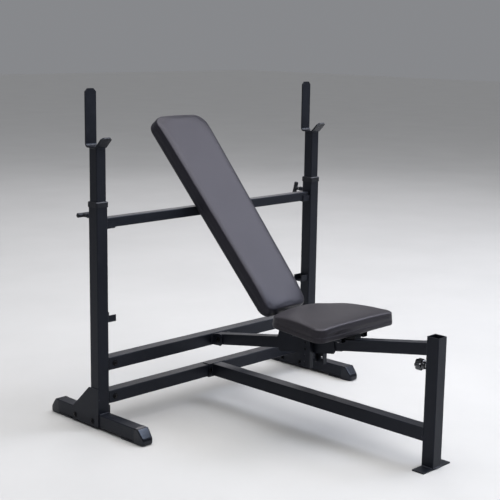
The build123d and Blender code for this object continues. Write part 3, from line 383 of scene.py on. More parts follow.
# %% Moulded plastics and rubber
def moulded(name, colour, roughness, texture, specular=0.5, coat=0.0):
    """Injection-moulded plastic with a fine tool texture and slight scuffs."""
    finish = Finish(name)
    drift = finish.noise(30.0, 4.0)
    scuff = finish.ramp(finish.noise(180.0, 5.0, 0.7), (0.62, 0.0), (0.78, 1.0))
    pale = tuple(2.2 * part + 0.01 for part in colour)
    drifted = finish.mix(drift, colour, tuple(1.25 * part for part in colour))
    skin = finish.mix(scuff * 0.25, drifted, pale)
    spark = finish.noise(3000.0, 2.0)
    normal = finish.bump(spark, texture, 0.6)
    rough = roughness + 0.12 * scuff + 0.05 * drift
    return finish.set(Base_Color=skin, Roughness=rough, Normal=normal, Coat_Weight=coat,
                      Specular_IOR_Level=specular, Specular_Tint=COAT_TINT)


cap_plastic = moulded("cap_plastic", (0.0035, 0.0038, 0.0055), 0.20, 0.000005, 0.36)
collar_plastic = moulded("collar_plastic", (0.0065, 0.0065, 0.0080), 0.38, 0.00008, 0.32)
knob_plastic = moulded("knob_plastic", (0.004, 0.004, 0.005), 0.12, 0.000004, 0.5, 1.0)
grip_rubber = moulded("grip_rubber", (0.008, 0.008, 0.009), 0.5, 0.00010, 0.35)
block_rubber = moulded("block_rubber", (0.012, 0.012, 0.012), 0.8, 0.00020, 0.3)

# %% [markdown]
# Bare metal appears only in small places: plungers, the knob's collar, screws. Bolts and nuts
# are blackened steel, whose film is a little patchy and finely scratched.

# %% Steels
def steel(name, colour, roughness, metallic=1.0):
    """Machined steel with fine scratches along Y and a patchy film."""
    finish = Finish(name)
    patch = finish.noise(90.0, 4.0)
    scratch = finish.noise(1.0, 2.0, 0.6, finish.stretched((2400.0, 300.0, 2400.0)))
    skin = finish.mix(patch, colour, tuple(0.72 * part for part in colour))
    normal = finish.bump(scratch, 0.00003, 0.5)
    rough = roughness + 0.14 * patch + 0.06 * scratch
    return finish.set(Base_Color=skin, Roughness=rough, Metallic=metallic, Normal=normal)


bright_steel = steel("bright_steel", (0.62, 0.62, 0.64), 0.22)
black_steel = steel("black_steel", (0.008, 0.008, 0.0095), 0.2, 0.9)

# %% [markdown]
# Under each pad a black dust cloth hides the plywood. It is a plain weave: two sets of stripes,
# one along each way of the cloth, multiplied into little squares.

# %% Dust cloth
def dust_cloth():
    """Black non-shiny cloth with a plain weave."""
    finish = Finish("dust_cloth")
    warp, weft = [finish.node("ShaderNodeTexWave", "Fac",
                              {"wave_type": "BANDS", "bands_direction": direction},
                              {"Vector": finish.place, "Scale": 210.0}) for direction in "XY"]
    weave = warp * weft
    fuzz = finish.noise(500.0, 4.0)
    colour = finish.mix(weave, (0.006, 0.006, 0.006), (0.018, 0.018, 0.019))
    normal = finish.bump(weave + 0.4 * fuzz, 0.0003, 0.7)
    return finish.set(Base_Color=colour, Roughness=0.92, Normal=normal, Sheen_Weight=0.2)


board_cloth = dust_cloth()

# %% [markdown]
# Each node that came with the frame keeps its shape and gets the finish of its material slot.
# The tubes and posts that slide get the scratched coat in place of the plain one.

# %% Finishes on the frame's own nodes
FINISH_OF_SLOT = {
    "frame_paint": frame_coat,
    "moulded_caps": collar_plastic,
    "rest_rubber": block_rubber,
    "black_bolts": black_steel,
    "bright_steel": bright_steel,
    "grips": grip_rubber,
    "knob_plastic": knob_plastic,
    "back_vinyl": back_vinyl,
    "seat_vinyl": seat_vinyl,
    "boards": board_cloth,
}
SLIDING_NODES = ("left_inner_upright", "right_inner_upright", "left_seat_post", "right_seat_post")

for part in frame["record"]["subparts"]:
    node = frame["nodes"][part["node"]]
    finish = FINISH_OF_SLOT[part["material_slot"]]
    if part["node"] in SLIDING_NODES:
        finish = sliding_coat
    for material_slot in node.material_slots:
        material_slot.material = finish
    if not node.material_slots:
        node.data.materials.append(finish)
print("finished", len(frame["nodes"]), "nodes")

# %% [markdown]
# ## Upholstery
# A pad is foam on a board, covered with vinyl that is pulled tight and stapled underneath. Its
# outline is four straight sides, wider at one end, with a round corner at each vertex. Moving
# every side inwards by the same distance gives the smaller outlines that the rounded edge and
# the crown need, so one function returns the outline at any inset.

# %% Pad outlines
CORNER_STEPS = 14
SIDE_STEPS = 24
SIDE_INSET = 0.3 * MM


def pad_outline(ends, halves, corners, inset):
    """Closed outline in (x, y), drawn inwards by an inset.

    ends are the y of the two ends, halves the half widths there, corners the two corner radii.
    Each side's line is n . p = c; it moves inwards by the inset, and each corner's centre is
    where two lines meet after moving in by the corner's radius as well.
    """
    (y0, y1), (w0, w1) = ends, halves
    points = np.array([[-w0, y0], [w0, y0], [w1, y1], [-w1, y1]])
    radii = np.maximum(np.repeat(corners, 2) - inset, 2 * MM)
    side = np.roll(points, -1, axis=0) - points
    side /= np.linalg.norm(side, axis=1)[:, None]
    outward = np.stack([side[:, 1], -side[:, 0]], axis=1)
    if np.sum(outward[0] * (points[0] - points.mean(0))) < 0:
        outward = -outward
    level = np.sum(outward * points, axis=1) - inset
    loops = []
    for corner in range(4):
        before = corner - 1
        pair = np.stack([outward[before], outward[corner]])
        centre = np.linalg.solve(pair, np.array([level[before], level[corner]]) - radii[corner])
        start = math.atan2(outward[before][1], outward[before][0])
        sweep = math.atan2(outward[corner][1], outward[corner][0]) - start
        sweep = (sweep + math.pi) % (2 * math.pi) - math.pi
        turn = start + sweep * np.linspace(0, 1, CORNER_STEPS)
        arc = centre + radii[corner] * np.stack([np.cos(turn), np.sin(turn)], axis=1)
        loops.append(arc)
    outline = []
    for corner in range(4):
        start, end = loops[corner][-1], loops[(corner + 1) % 4][0]
        share = np.linspace(0, 1, SIDE_STEPS + 2)[1:-1, None]
        outline += [loops[corner], start + share * (end - start)]
    return np.concatenate(outline)


print("an outline has", 4 * (CORNER_STEPS + SIDE_STEPS), "points")

# %% [markdown]
# A pad is a stack of such outlines: a profile says how far each one is drawn in and how high it
# lies. The crown of the cushion is part of the profile, and its four corners are lowered after.

# %% Pad shapes
def pad_rings(shape, profile):
    """Rings of a pad: profile lists (inset, height) from the bottom's middle to the top's."""
    rings = []
    for inset, height in profile:
        flat = pad_outline(*shape, inset)
        rings.append(np.column_stack([flat, np.full(len(flat), height)]))
    return np.array(rings)


def drooped(points, shape, base, top, drops, reach):
    """Lowers a pad's corners, where the vinyl is folded and pulled hardest.

    Each corner takes off drop * exp(-(distance / reach)^2), times the square of the share of the
    pad's height, so the foot of the pad stays where it is.
    """
    (y0, y1), (w0, w1) = shape[:2]
    share = np.clip((points[:, 2] - base) / (top - base), 0, 1) ** 2
    lower = np.zeros(len(points))
    for y, half, drop in ((y0, w0, drops[0]), (y1, w1, drops[1])):
        for x in (-half, half):
            away = np.hypot(points[:, 0] - x, points[:, 1] - y)
            lower += drop * np.exp(-((away / reach) ** 2))
    return points - np.outer(lower * share, [0, 0, 1])


def foam_profile(thickness, edge, crown, depth):
    """(inset, height) of a crowned cushion that stands on its board.

    The side bellies out by a sine, the top edge is a quarter circle of radius edge, and from
    there the top climbs by crown over the distance depth, as the quarter of a sine does.
    """
    shoulder = thickness - edge
    belly = np.linspace(0, 1, 6)
    side = [(SIDE_INSET - 0.9 * MM * math.sin(math.pi * t), shoulder * t) for t in belly]
    quarter = np.linspace(0, np.pi / 2, 7)[1:]
    roll = [(SIDE_INSET + edge * (1 - math.cos(a)), shoulder + edge * math.sin(a)) for a in quarter]
    inner = np.linspace(0, 1, 9)[1:]
    top = [(SIDE_INSET + edge + depth * t, shoulder + edge + crown * math.sin(math.pi / 2 * t))
           for t in inner]
    floor = [(0.8 * depth, 0.0), (0.4 * depth, 0.0)]
    return floor + side + roll + top


print("a cushion has", len(foam_profile(44 * MM, 6 * MM, 3 * MM, 60 * MM)), "rings")

# %% [markdown]
# Inflating the cushion gives it the life that a drawn shape lacks. A fine even mesh from a voxel
# remesh is blown up by the Cloth modifier, held where it meets the board. No point may move
# further than a cap, and a short smoothing takes the voxel steps out of the skin.

# %% Inflated cushions
PRESSURE = 3.0
PAD_EDGE = 6 * MM
PAD_OVERFILL = 1 * MM
HELD_HEIGHT = 14 * MM


def corners_of(mesh):
    """Vertex positions of a mesh as an array."""
    flat = np.empty(len(mesh.vertices) * 3)
    mesh.vertices.foreach_get("co", flat)
    return flat.reshape(-1, 3)


def baked(piece, name):
    """The piece's mesh with its modifiers applied, as a new mesh."""
    graph = bpy.context.evaluated_depsgraph_get()
    graph.update()
    mesh = bpy.data.meshes.new_from_object(piece.evaluated_get(graph))
    mesh.name = name
    return mesh


def inflated(name, mesh, voxel, cap, held_below):
    """A cushion mesh, remeshed, blown up and smoothed; points under held_below stay put."""
    piece = bpy.data.objects.new(name, mesh)
    bpy.context.scene.collection.objects.link(piece)
    remesh = piece.modifiers.new("remesh", "REMESH")
    remesh.mode = "VOXEL"
    remesh.voxel_size = voxel
    piece.data = baked(piece, name + "_fine")
    piece.modifiers.clear()
    before = corners_of(piece.data)
    moved = before
    held = piece.vertex_groups.new(name="held")
    weight = np.clip((held_below + voxel - before[:, 2]) / voxel, 0, 1)
    for index in np.flatnonzero(weight > 0):
        held.add([int(index)], float(weight[index]), "REPLACE")
    cloth = piece.modifiers.new("cloth", "CLOTH").settings
    cloth.use_pressure = True
    cloth.uniform_pressure_force = PRESSURE
    cloth.effector_weights.gravity = 0
    cloth.vertex_group_mass = "held"
    for number in range(1, 21):
        bpy.context.scene.frame_set(number)
    moved = corners_of(baked(piece, name + "_blown"))
    bpy.context.scene.frame_set(1)
    piece.modifiers.clear()
    step = moved - before
    length = np.linalg.norm(step, axis=1)
    share = np.minimum(1, cap / np.maximum(length, 1e-9))
    moved = before + step * share[:, None]
    print(name, "swelled by", round(float(length.max()) * 1000, 1), "mm, capped at", cap * 1000)
    piece.data.vertices.foreach_set("co", moved.ravel())
    smooth = piece.modifiers.new("smooth", "SMOOTH")
    smooth.factor = 0.5
    smooth.iterations = 5
    finished = baked(piece, name)
    bpy.data.objects.remove(piece)
    return finished


def cushion(name, shape, base, top, crown, depth, voxel, cap, drops, reach):
    """Mesh of a crowned, inflated pad between two heights, and its points with drooped corners."""
    rings = pad_rings(shape, foam_profile(top - base + PAD_OVERFILL, PAD_EDGE, crown, depth))
    rings[:, :, 2] += base
    mesh = inflated(name, shell_mesh(name, [rings]), voxel, cap, base + HELD_HEIGHT)
    return mesh, drooped(corners_of(mesh), shape, base, top, drops, reach)


# %% [markdown]
# The seat widens towards the front. It is drawn in its own place: the outline in the frame's X
# and Y, and the height above the top of its board. Its vinyl stands a little wider than the plain
# foam that the frame came with.

# %% Seat cushion
SEAT_LOW, SEAT_HIGH = node_box("seat_cushion")
SEAT_BOARD_LOW = node_box("seat_board")[0]
SEAT_REAR_HALF = 169 * MM
LOST_TO_CORNERS = 7.8 * MM      # how far the round corners keep the foam's box inside its outline
SEAT_FRONT_HALF = (SEAT_HIGH[0] - SEAT_LOW[0]) / 2 + LOST_TO_CORNERS + 3 * MM
SEAT_CORNERS = (56 * MM, 34 * MM)
SEAT_SHAPE = ((SEAT_HIGH[1], SEAT_LOW[1]), (SEAT_REAR_HALF, SEAT_FRONT_HALF), SEAT_CORNERS)

seat_mesh, seat_points = cushion("seat_pad", SEAT_SHAPE, SEAT_LOW[2], SEAT_HIGH[2], crown=3 * MM,
                                 depth=60 * MM, voxel=3.5 * MM, cap=1.3 * MM,
                                 drops=(15 * MM, 6 * MM), reach=75 * MM)
seat_mesh.vertices.foreach_set("co", seat_points.ravel())
seat_pad = add_piece("seat_pad", seat_mesh, seat_vinyl, "seat", ["seat_cushion"], 80)

# %% [markdown]
# The back pad is drawn lying flat, with its length along Y from the hinge and its thickness
# along Z, and is then turned about the hinge by the angle at which the frame holds it. The angle
# comes from the board: it is the direction in which the board's points spread the most.

# %% Back pad's place
hinge = next(joint for joint in frame["joints"] if joint["name"] == "back_pad_tilt")
HINGE = np.array(hinge["pos_m"])


def board_angle():
    """Angle of the back board's length above level, from its widest spread of points."""
    points = corners_of(frame["nodes"]["back_board"].data)[:, 1:]
    spread = points - points.mean(0)
    _, _, axes = np.linalg.svd(spread, full_matrices=False)
    return math.atan2(abs(axes[0][1]), abs(axes[0][0]))


BACK_ANGLE = board_angle()
BACK_TURN = np.array(Matrix.Rotation(BACK_ANGLE, 3, "X"))
print("back pad at", round(math.degrees(BACK_ANGLE), 2), "degrees")


def flat_box(node):
    """A back pad node's box after turning it flat about the hinge."""
    flat = (corners_of(frame["nodes"][node].data) - HINGE) @ BACK_TURN
    return flat.min(0), flat.max(0)


def raised(points):
    """Flat-drawn points turned into the back pad's resting place."""
    return points @ BACK_TURN.T + HINGE


# %% [markdown]
# The back cushion is made just as the seat is, with a lower crown, because it is narrow, and only
# its finished points are turned up into place.

# %% Back cushion
BACK_LOW, BACK_HIGH = flat_box("back_cushion")
BACK_BOARD_LOW = flat_box("back_board")[0]
BACK_HALVES = (113 * MM, 141 * MM)
BACK_CORNERS = (40 * MM, 50 * MM)
BACK_SHAPE = ((BACK_LOW[1], BACK_HIGH[1]), BACK_HALVES, BACK_CORNERS)

back_mesh, back_points = cushion("back_pad", BACK_SHAPE, BACK_LOW[2], BACK_HIGH[2],
                                 crown=2.5 * MM, depth=30 * MM, voxel=3.8 * MM, cap=1.4 * MM,
                                 drops=(9 * MM, 7 * MM), reach=60 * MM)
back_mesh.vertices.foreach_set("co", raised(back_points).ravel())
back_pad = add_piece("back_pad", back_mesh, back_vinyl, "back_rest",
                     ["back_cushion"], 80)

# %% [markdown]
# The vinyl goes on down round the board's edge, where it is pulled over the plywood and stands a
# little proud of the foam. A band drawn with the same outlines carries it, with a rounded lower
# edge and a soft upper one. A dust cloth and a row of staples close the underside.

# %% Board covers, dust cloths and staples
# Each pair is how far a ring is drawn in and how high it lies over the board's underside, in mm.
BOARD_PROFILE = [(30, 0.4), (8, 0.4), (3.2, 0.0), (0.9, 0.9), (-0.8, 3.0), (-1.5, 6.5),
                 (-1.6, 11), (-1.4, 15), (-0.8, 18.5), (0.9, 21), (4, 21.4), (20, 21.4)]
CLOTH_PROFILE = [(40, -1.0), (16.5, -1.0), (15.5, -0.6), (15.5, 0.6), (40, 0.6)]
STAPLE_PITCH = 45 * MM
STAPLE_INSET = 19 * MM
STAPLE_HALF = 5.5 * MM


def in_metres(profile):
    """Profile pairs given in millimetres, in metres."""
    return [(inset * MM, height * MM) for inset, height in profile]


def staples(shape):
    """Small wire crowns along an outline, one every STAPLE_PITCH, each two rings of six points."""
    line = pad_outline(*shape, STAPLE_INSET)
    closed = np.vstack([line, line[:1]])
    run = np.concatenate([[0], np.cumsum(np.linalg.norm(np.diff(closed, axis=0), axis=1))])
    places = np.arange(STAPLE_PITCH / 2, run[-1], STAPLE_PITCH)
    here, ahead = [np.stack([np.interp(places + step, run, closed[:, 0]),
                             np.interp(places + step, run, closed[:, 1]),
                             np.full(len(places), -1.2 * MM)], axis=1) for step in (0, 1 * MM)]
    along = ahead - here
    along /= np.linalg.norm(along, axis=1)[:, None]
    across = np.cross([0, 0, 1], along)
    turn = np.linspace(0, 2 * np.pi, 6, endpoint=False)
    section = (np.cos(turn)[None, :, None] * across[:, None, :] * 0.6 * MM
               + np.sin(turn)[None, :, None] * np.array([0, 0, 0.5 * MM]))
    ends = np.array([-STAPLE_HALF, STAPLE_HALF])[None, :, None, None] * along[:, None, None, :]
    return list(here[:, None, None, :] + ends + section[:, None, :, :])


def upholstery_base(name, shape, place, vinyl, body):
    """Board cover, dust cloth and staples of one pad; place turns flat points home."""
    cover = place(pad_rings(shape, in_metres(BOARD_PROFILE)))
    add_shells(name + "_board_cover", [cover], vinyl, body, [name + "_board"], 60)
    cloth = place(pad_rings(shape, in_metres(CLOTH_PROFILE)))
    add_shells(name + "_dust_cloth", [cloth], board_cloth, body)
    crowns = [place(crown) for crown in staples(shape)]
    add_shells(name + "_staples", crowns, bright_steel, body)


upholstery_base("seat", SEAT_SHAPE, lambda points: points + [0, 0, SEAT_BOARD_LOW[2]],
                seat_vinyl, "seat")
upholstery_base("back", BACK_SHAPE, lambda points: raised(points + [0, 0, BACK_BOARD_LOW[2]]),
                back_vinyl, "back_rest")

# %% [markdown]
# ## Moulded parts
# A foot cap is a box section whose roof slopes down to a blunt nose, with a thin pad behind it
# under the tube. The section is a rounded rectangle, and along the cap its roof, floor and half
# width follow short lists of stations, which are measured from the upright's middle.

# %% Foot caps
CAP_STATIONS = np.array([
    # distance, roof, floor, half width, corner radius (mm)
    (231.6, 60.0, 0.5, 25.0, 3.0),
    (232.4, 60.9, 0.0, 25.8, 3.4),
    (253.8, 60.9, 0.0, 25.8, 3.4),
    (255.8, 59.9, 0.0, 25.8, 3.6),
    (257.4, 58.1, 0.0, 25.8, 3.7),
    (263.4, 50.7, 0.0, 25.6, 4.0),
    (270.4, 42.1, 0.0, 25.2, 4.4),
    (277.0, 33.9, 0.6, 24.6, 5.0),
    (280.6, 29.5, 1.8, 24.0, 5.6),
    (282.8, 25.8, 3.2, 22.9, 6.6),
    (284.4, 20.8, 5.2, 21.0, 6.4),
    (285.2, 16.4, 7.6, 18.4, 4.2),
])
PAD_STATIONS = np.array([
    (154.0, 5.6, 3.4, 20.0, 1.0),
    (154.8, 7.8, 1.4, 23.0, 2.4),
    (157.0, 9.2, 0.2, 24.6, 2.8),
    (160.0, 9.3, 0.0, 24.9, 2.8),
    (232.5, 9.3, 0.0, 24.9, 2.8),
])
FLAT_SUPPORTS = np.array([[0.05], [0.5], [0.95]])


def rounded_section(half_width, low, high, corner, steps=8):
    """Points of a rounded rectangle in (x, z), with a few along each flat to keep it flat."""
    quarter = np.linspace(0, np.pi / 2, steps)
    points = []
    for k, (sx, top) in enumerate([(1, high), (-1, high), (-1, low), (1, low)]):
        turn = quarter + k * np.pi / 2
        centre = (sx * (half_width - corner), top - corner if k < 2 else top + corner)
        points.append(np.stack([centre[0] + corner * np.cos(turn),
                                centre[1] + corner * np.sin(turn)], axis=1))
    section = []
    for k in range(4):
        end, start = points[k][-1], points[(k + 1) % 4][0]
        section += [points[k], end + FLAT_SUPPORTS * (start - end)]
    return np.concatenate(section)


def station_rings(stations, side, end, count=40):
    """Rings of a box section whose sizes are interpolated along the stations."""
    run = np.linspace(0, 1, len(stations))
    fine = np.linspace(0, 1, count)
    rings = []
    for distance, roof, floor, half, corner in zip(*(np.interp(fine, run, size)
                                                     for size in stations.T)):
        section = rounded_section(half, floor, roof, corner) * MM
        y = np.full(len(section), UPRIGHT_Y + end * distance * MM)
        rings.append(np.column_stack([side * UPRIGHT_X + section[:, 0], y, section[:, 1]]))
    return np.array(rings)


cap_shells = [station_rings(stations, side, end) for side in SIDES.values() for end in (-1, 1)
              for stations in (CAP_STATIONS, PAD_STATIONS)]
add_shells("foot_end_caps", cap_shells, cap_plastic, "frame", ["foot_caps"], 35)

# %% [markdown]
# The clamping knob has six finger lobes. Its radius is a lathe profile multiplied by a wave that
# goes round six times; the wave fades out towards the hub so that the face stays round.

# %% Post knob
KNOB_LOW, KNOB_HIGH = node_box("post_knob")
KNOB_MIDDLE = (KNOB_LOW + KNOB_HIGH) / 2
KNOB_RADIUS = (KNOB_HIGH[0] - KNOB_LOW[0]) / 2
KNOB_LENGTH = KNOB_HIGH[1] - KNOB_LOW[1]
KNOB_LOBES = 6


def knob_rings(columns=120):
    """Radius = profile * (1 - 0.17 * fade * flute), with the flute a raised cosine.

    The profile is drawn for a knob of radius 22 and length 40, and scaled to the real one.
    """
    along = np.array([0, 0.3, 1.2, 3.0, 7.0, 10.5, 12.0, 13.4, 18.0, 25.0, 32.0, 36.6, 39.2, 40.0])
    wide = np.array([11.0, 12.6, 13.6, 14.0, 14.2, 15.2, 19.4, 21.2, 21.8, 22.0, 22.0, 21.2,
                     18.4, 14.0])
    fade = np.array([0, 0, 0, 0, 0, 0.1, 0.8, 1, 1, 1, 1, 1, 0.9, 0.6])
    turn = np.linspace(0, 2 * np.pi, columns, endpoint=False)
    flute = np.clip(0.5 - 0.5 * np.cos(KNOB_LOBES * turn), 0, 1) ** 1.6
    radius = (wide / wide.max() * KNOB_RADIUS)[:, None] * (1 - 0.17 * np.outer(fade, flute))
    origin = (0, KNOB_LOW[1], KNOB_MIDDLE[2])
    return lathe(origin, (0, 1, 0), along / along[-1] * KNOB_LENGTH, radius, columns)


add_shells("lobed_knob", [knob_rings()], knob_plastic, "post_knob", ["post_knob"], 50)

# %% [markdown]
# Each pull pin ends in a dipped T grip: a hub on the pin's stem and a waisted cross bar with
# round ends. The cross bar points along X on the left, almost upright on the right, and along
# the bench on the seat's pin.

# %% Pull pin grips
GRIP_RADIUS = 9.5 * MM
GRIP_LENGTH = 60 * MM


def grip_shells(hub_start, hub_axis, centre, bar_axis):
    """Hub and cross bar of one grip.

    The hub flares by a tenth towards the bar. The bar's radius is smallest in the middle and, in
    the last fifth of each half, falls to nothing along a slightly squared quarter circle.
    """
    centre = np.array(centre)
    reach = np.linalg.norm(centre - hub_start)
    along, radius = rounded_profile(reach, 7.6 * MM, 1.2 * MM)
    flare = 1 + 0.16 * np.clip(along / reach - 0.45, 0, 1)
    hub = lathe(hub_start, hub_axis, along, radius * flare, 32)
    share = np.linspace(-1, 1, 41)
    round_end = np.sqrt(np.clip(1 - np.clip((np.abs(share) - 0.78) / 0.22, 0, 1) ** 2.4, 0.0, 1))
    waist = 0.93 + 0.07 * share**2
    start = centre - np.array(bar_axis) * GRIP_LENGTH / 2
    bar = lathe(start, bar_axis, (share + 1) / 2 * GRIP_LENGTH, GRIP_RADIUS * waist * round_end, 32)
    return [hub, bar]


def upright_grip(name, bar_axis):
    """Grip behind an upright, which moves along Y."""
    low, high = node_box(name + "_pin_handle")
    middle = (low + high) / 2
    centre = (middle[0], high[1] - GRIP_RADIUS, middle[2])
    shells = grip_shells((middle[0], low[1], middle[2]), (0, 1, 0), centre, bar_axis)
    add_shells(name + "_pin_grip", shells, grip_rubber, name + "_pull_pin",
               [name + "_pin_handle"], 60)


right_low, right_high = node_box("right_pin_handle")
lean = math.atan2(right_high[2] - right_low[2] - 2 * GRIP_RADIUS,
                  right_high[0] - right_low[0] - 2 * GRIP_RADIUS)
upright_grip("left", (1, 0, 0))
upright_grip("right", (math.cos(lean), 0, math.sin(lean)))
seat_low, seat_high = node_box("seat_pin_handle")
seat_middle = (seat_low + seat_high) / 2
seat_grip = grip_shells((seat_low[0], seat_middle[1], seat_middle[2]), (1, 0, 0),
                        (seat_high[0] - GRIP_RADIUS, seat_middle[1], seat_middle[2]), (0, 1, 0))
add_shells("seat_pin_grip", seat_grip, grip_rubber, "seat_pull_pin",
           ["seat_pin_handle"], 60)

# %% [markdown]
# ## Welds and washers
# A weld bead is a row of overlapping ripples. It is swept like a rope along the corner between
# two pieces: a circle whose radius swells once per ripple and tapers at both ends.

# %% Weld beads
BEAD_RADIUS = 2.6 * MM
FINE_BEAD = 1.6 * MM
RIPPLE = 3.4 * MM
STOP_SHORT = 4 * MM             # how far before a corner a bead ends


def bead_along(path, radius=BEAD_RADIUS, closed=False):
    """Rings of a bead on a path: radius * (0.84 + 0.16 * ripple) * taper.

    The ripple is |sin|, once per RIPPLE, and the taper is the root of the way in from an end.
    """
    step = np.gradient(path, axis=0)
    step /= np.linalg.norm(step, axis=1)[:, None]
    helper = np.array([0.31, 0.52, 0.79])
    first = np.cross(step, helper)
    first /= np.linalg.norm(first, axis=1)[:, None]
    second = np.cross(step, first)
    run = np.concatenate([[0], np.cumsum(np.linalg.norm(np.diff(path, axis=0), axis=1))])
    ripple = np.abs(np.sin(np.pi * run / RIPPLE))
    taper = np.ones(len(run)) if closed else np.clip(
        np.minimum(run, run[-1] - run) / (1.5 * radius) + 0.25, 0, 1) ** 0.5
    size = radius * (0.84 + 0.16 * ripple) * taper
    turn = np.linspace(0, 2 * np.pi, 8, endpoint=False)
    circle = np.cos(turn)[:, None] * first[:, None] + np.sin(turn)[:, None] * second[:, None]
    return path[:, None, :] + size[:, None, None] * circle


def straight_bead(start, end, radius=BEAD_RADIUS):
    """A bead between two points, with four rings per ripple."""
    start, end = np.array(start, float), np.array(end, float)
    count = max(8, int(np.linalg.norm(end - start) / RIPPLE * 4))
    return bead_along(start + np.linspace(0, 1, count)[:, None] * (end - start), radius)


def round_bead(centre, direction, ring_radius, radius=BEAD_RADIUS):
    """A bead that runs once round a boss."""
    _, first, second = axis_frame(direction)
    turn = np.linspace(0, 2 * np.pi, max(32, int(2 * np.pi * ring_radius / RIPPLE * 4)))
    circle = np.cos(turn)[:, None] * first + np.sin(turn)[:, None] * second
    return bead_along(np.array(centre) + ring_radius * circle, radius, True)


def square_beads(centre, direction, half, radius=BEAD_RADIUS):
    """Beads along the four sides of a square tube that is butted onto a plate."""
    _, first, second = axis_frame(direction)
    beads = []
    for out, along in ((first, second), (-first, second), (second, first), (-second, first)):
        middle = np.array(centre) + out * half
        reach = along * (half - 3 * MM)
        beads.append(straight_bead(middle - reach, middle + reach, radius))
    return beads


print("a 100 mm bead has", len(straight_bead((0, 0, 0), (0, 0, 100 * MM))), "rings")

# %% [markdown]
# Each upright is welded to its foot, to its gusset, to the stubs that the crossbars slip over, to
# the support bar's cradles and to the housing of its pull pin. The places of the beads are the
# edges of those nodes' boxes.

# %% Beads on the uprights
def upright_beads(side):
    """All weld beads of one upright; side is -1 for the left and 1 for the right."""
    x_out = side * (UPRIGHT_X + HALF_TUBE)
    x_in = side * (UPRIGHT_X - HALF_TUBE)
    front, rear = UPRIGHT_Y - HALF_TUBE, UPRIGHT_Y + HALF_TUBE
    beads = [straight_bead((x_in + side * STOP_SHORT, y, FOOT_TOP),
                           (x_out - side * STOP_SHORT, y, FOOT_TOP)) for y in (front, rear)]
    top = node_box("outer_gussets")[1][2]
    edge = front + 0.5 * MM
    for low, high in ((FOOT_TOP + 22 * MM, top - STOP_SHORT), (FOOT_TOP + 2 * MM, FOOT_TOP + 12 * MM)):
        beads.append(straight_bead((x_out, edge, low), (x_out, edge, high), 2.2 * MM))
    beads.append(straight_bead((x_out, front + 6 * MM, top), (x_out, rear - STOP_SHORT, top), 1.9 * MM))
    for node in ("upper_crossbar", "lower_crossbar"):
        middle = (x_in, UPRIGHT_Y, node_box(node)[0][2] + HALF_TUBE)
        beads += square_beads(middle, (1, 0, 0), HALF_TUBE - 3.2 * MM, FINE_BEAD)
    for node in ("upper_cradles", "lower_cradles"):
        (_, y_front, low), (_, y_rear, high) = node_box(node)
        beads.append(straight_bead((x_in, y_front, low + 6 * MM), (x_in, y_front, high - 2 * MM),
                                   1.7 * MM))
        beads.append(straight_bead((x_in, y_front + 5 * MM, low), (x_in, y_rear - 5 * MM, low),
                                   1.7 * MM))
    pin_low, pin_high = node_box("left_pin_plunger")
    housing = (side * UPRIGHT_X, rear, (pin_low[2] + pin_high[2]) / 2)
    beads.append(round_bead(housing, (0, 1, 0), 15 * MM, FINE_BEAD))
    return beads


print("an upright has", len(upright_beads(1)), "beads")

# %% [markdown]
# The post stands on its base plate and carries both beams. The main beam slopes, so its end is
# taller than the tube is thick: the half height is the half thickness times the slope's secant.

# %% Beads on the post and the beams
def beam_slope():
    """Rise over run of the main beam, from the middles of its two ends."""
    points = corners_of(frame["nodes"]["main_beam"].data)
    low_end = points[points[:, 1] > points[:, 1].max() - 12 * MM]
    high_end = points[points[:, 1] < points[:, 1].min() + 1 * MM]
    rise = high_end[:, 2].mean() - low_end[:, 2].mean()
    return rise / (low_end[:, 1].mean() - high_end[:, 1].mean())


def post_beads():
    """Beads round the post's foot, both ends of the lower beam and the knob's boss."""
    beads = square_beads((0, POST_Y, node_box("post_base_plate")[1][2]), (0, 0, 1), HALF_TUBE,
                         3.2 * MM)
    low, high = node_box("lower_beam")
    for y in (POST_HIGH[1], high[1]):
        beads += square_beads((0, y, (low[2] + high[2]) / 2), (0, 1, 0), HALF_TUBE)
    boss = (0, POST_HIGH[1], KNOB_MIDDLE[2])
    return beads + [round_bead(boss, (0, 1, 0), 12 * MM, FINE_BEAD)]


def main_beam_beads():
    """Beads where the main beam meets the post, its bracket at the crossbar and the saddle."""
    rear = POST_HIGH[1]
    beam_high = node_box("main_beam")[1]
    half = beam_high[0]
    slope = beam_slope()
    rise = half * math.sqrt(1 + slope**2)
    centre_z = beam_high[2] - rise
    low, high = centre_z - rise, centre_z + rise
    beads = [straight_bead((-half + STOP_SHORT, rear, z), (half - STOP_SHORT, rear, z))
             for z in (low, high)]
    beads += [straight_bead((x, rear, low + STOP_SHORT), (x, rear, high - STOP_SHORT))
              for x in (-half, half)]
    cross_low, cross_high = node_box("upper_crossbar")
    for corner in node_box("main_beam_bracket"):
        beads.append(straight_bead((corner[0], cross_low[1], cross_low[2] + 7 * MM),
                                   (corner[0], cross_low[1], cross_high[2] - 7 * MM)))
    saddle_low, saddle_high = node_box("pad_saddle")
    for x in (-half, half):
        for start in (saddle_low[1] + 20 * MM, saddle_high[1] - 120 * MM):
            ends = [(x, y, low - slope * (y - rear)) for y in (start, start + 40 * MM)]
            beads.append(straight_bead(*ends, 1.5 * MM))
    return beads


frame_beads = [bead for side in SIDES.values() for bead in upright_beads(side)]
frame_beads += post_beads() + main_beam_beads()
add_shells("frame_weld_beads", frame_beads, bead_coat_painted_highlight, "frame", (), 80)

# %% [markdown]
# The bar holders are bent plates welded on top of the inner uprights, and the seat posts hang
# from welded rails, so those beads move with their own bodies.

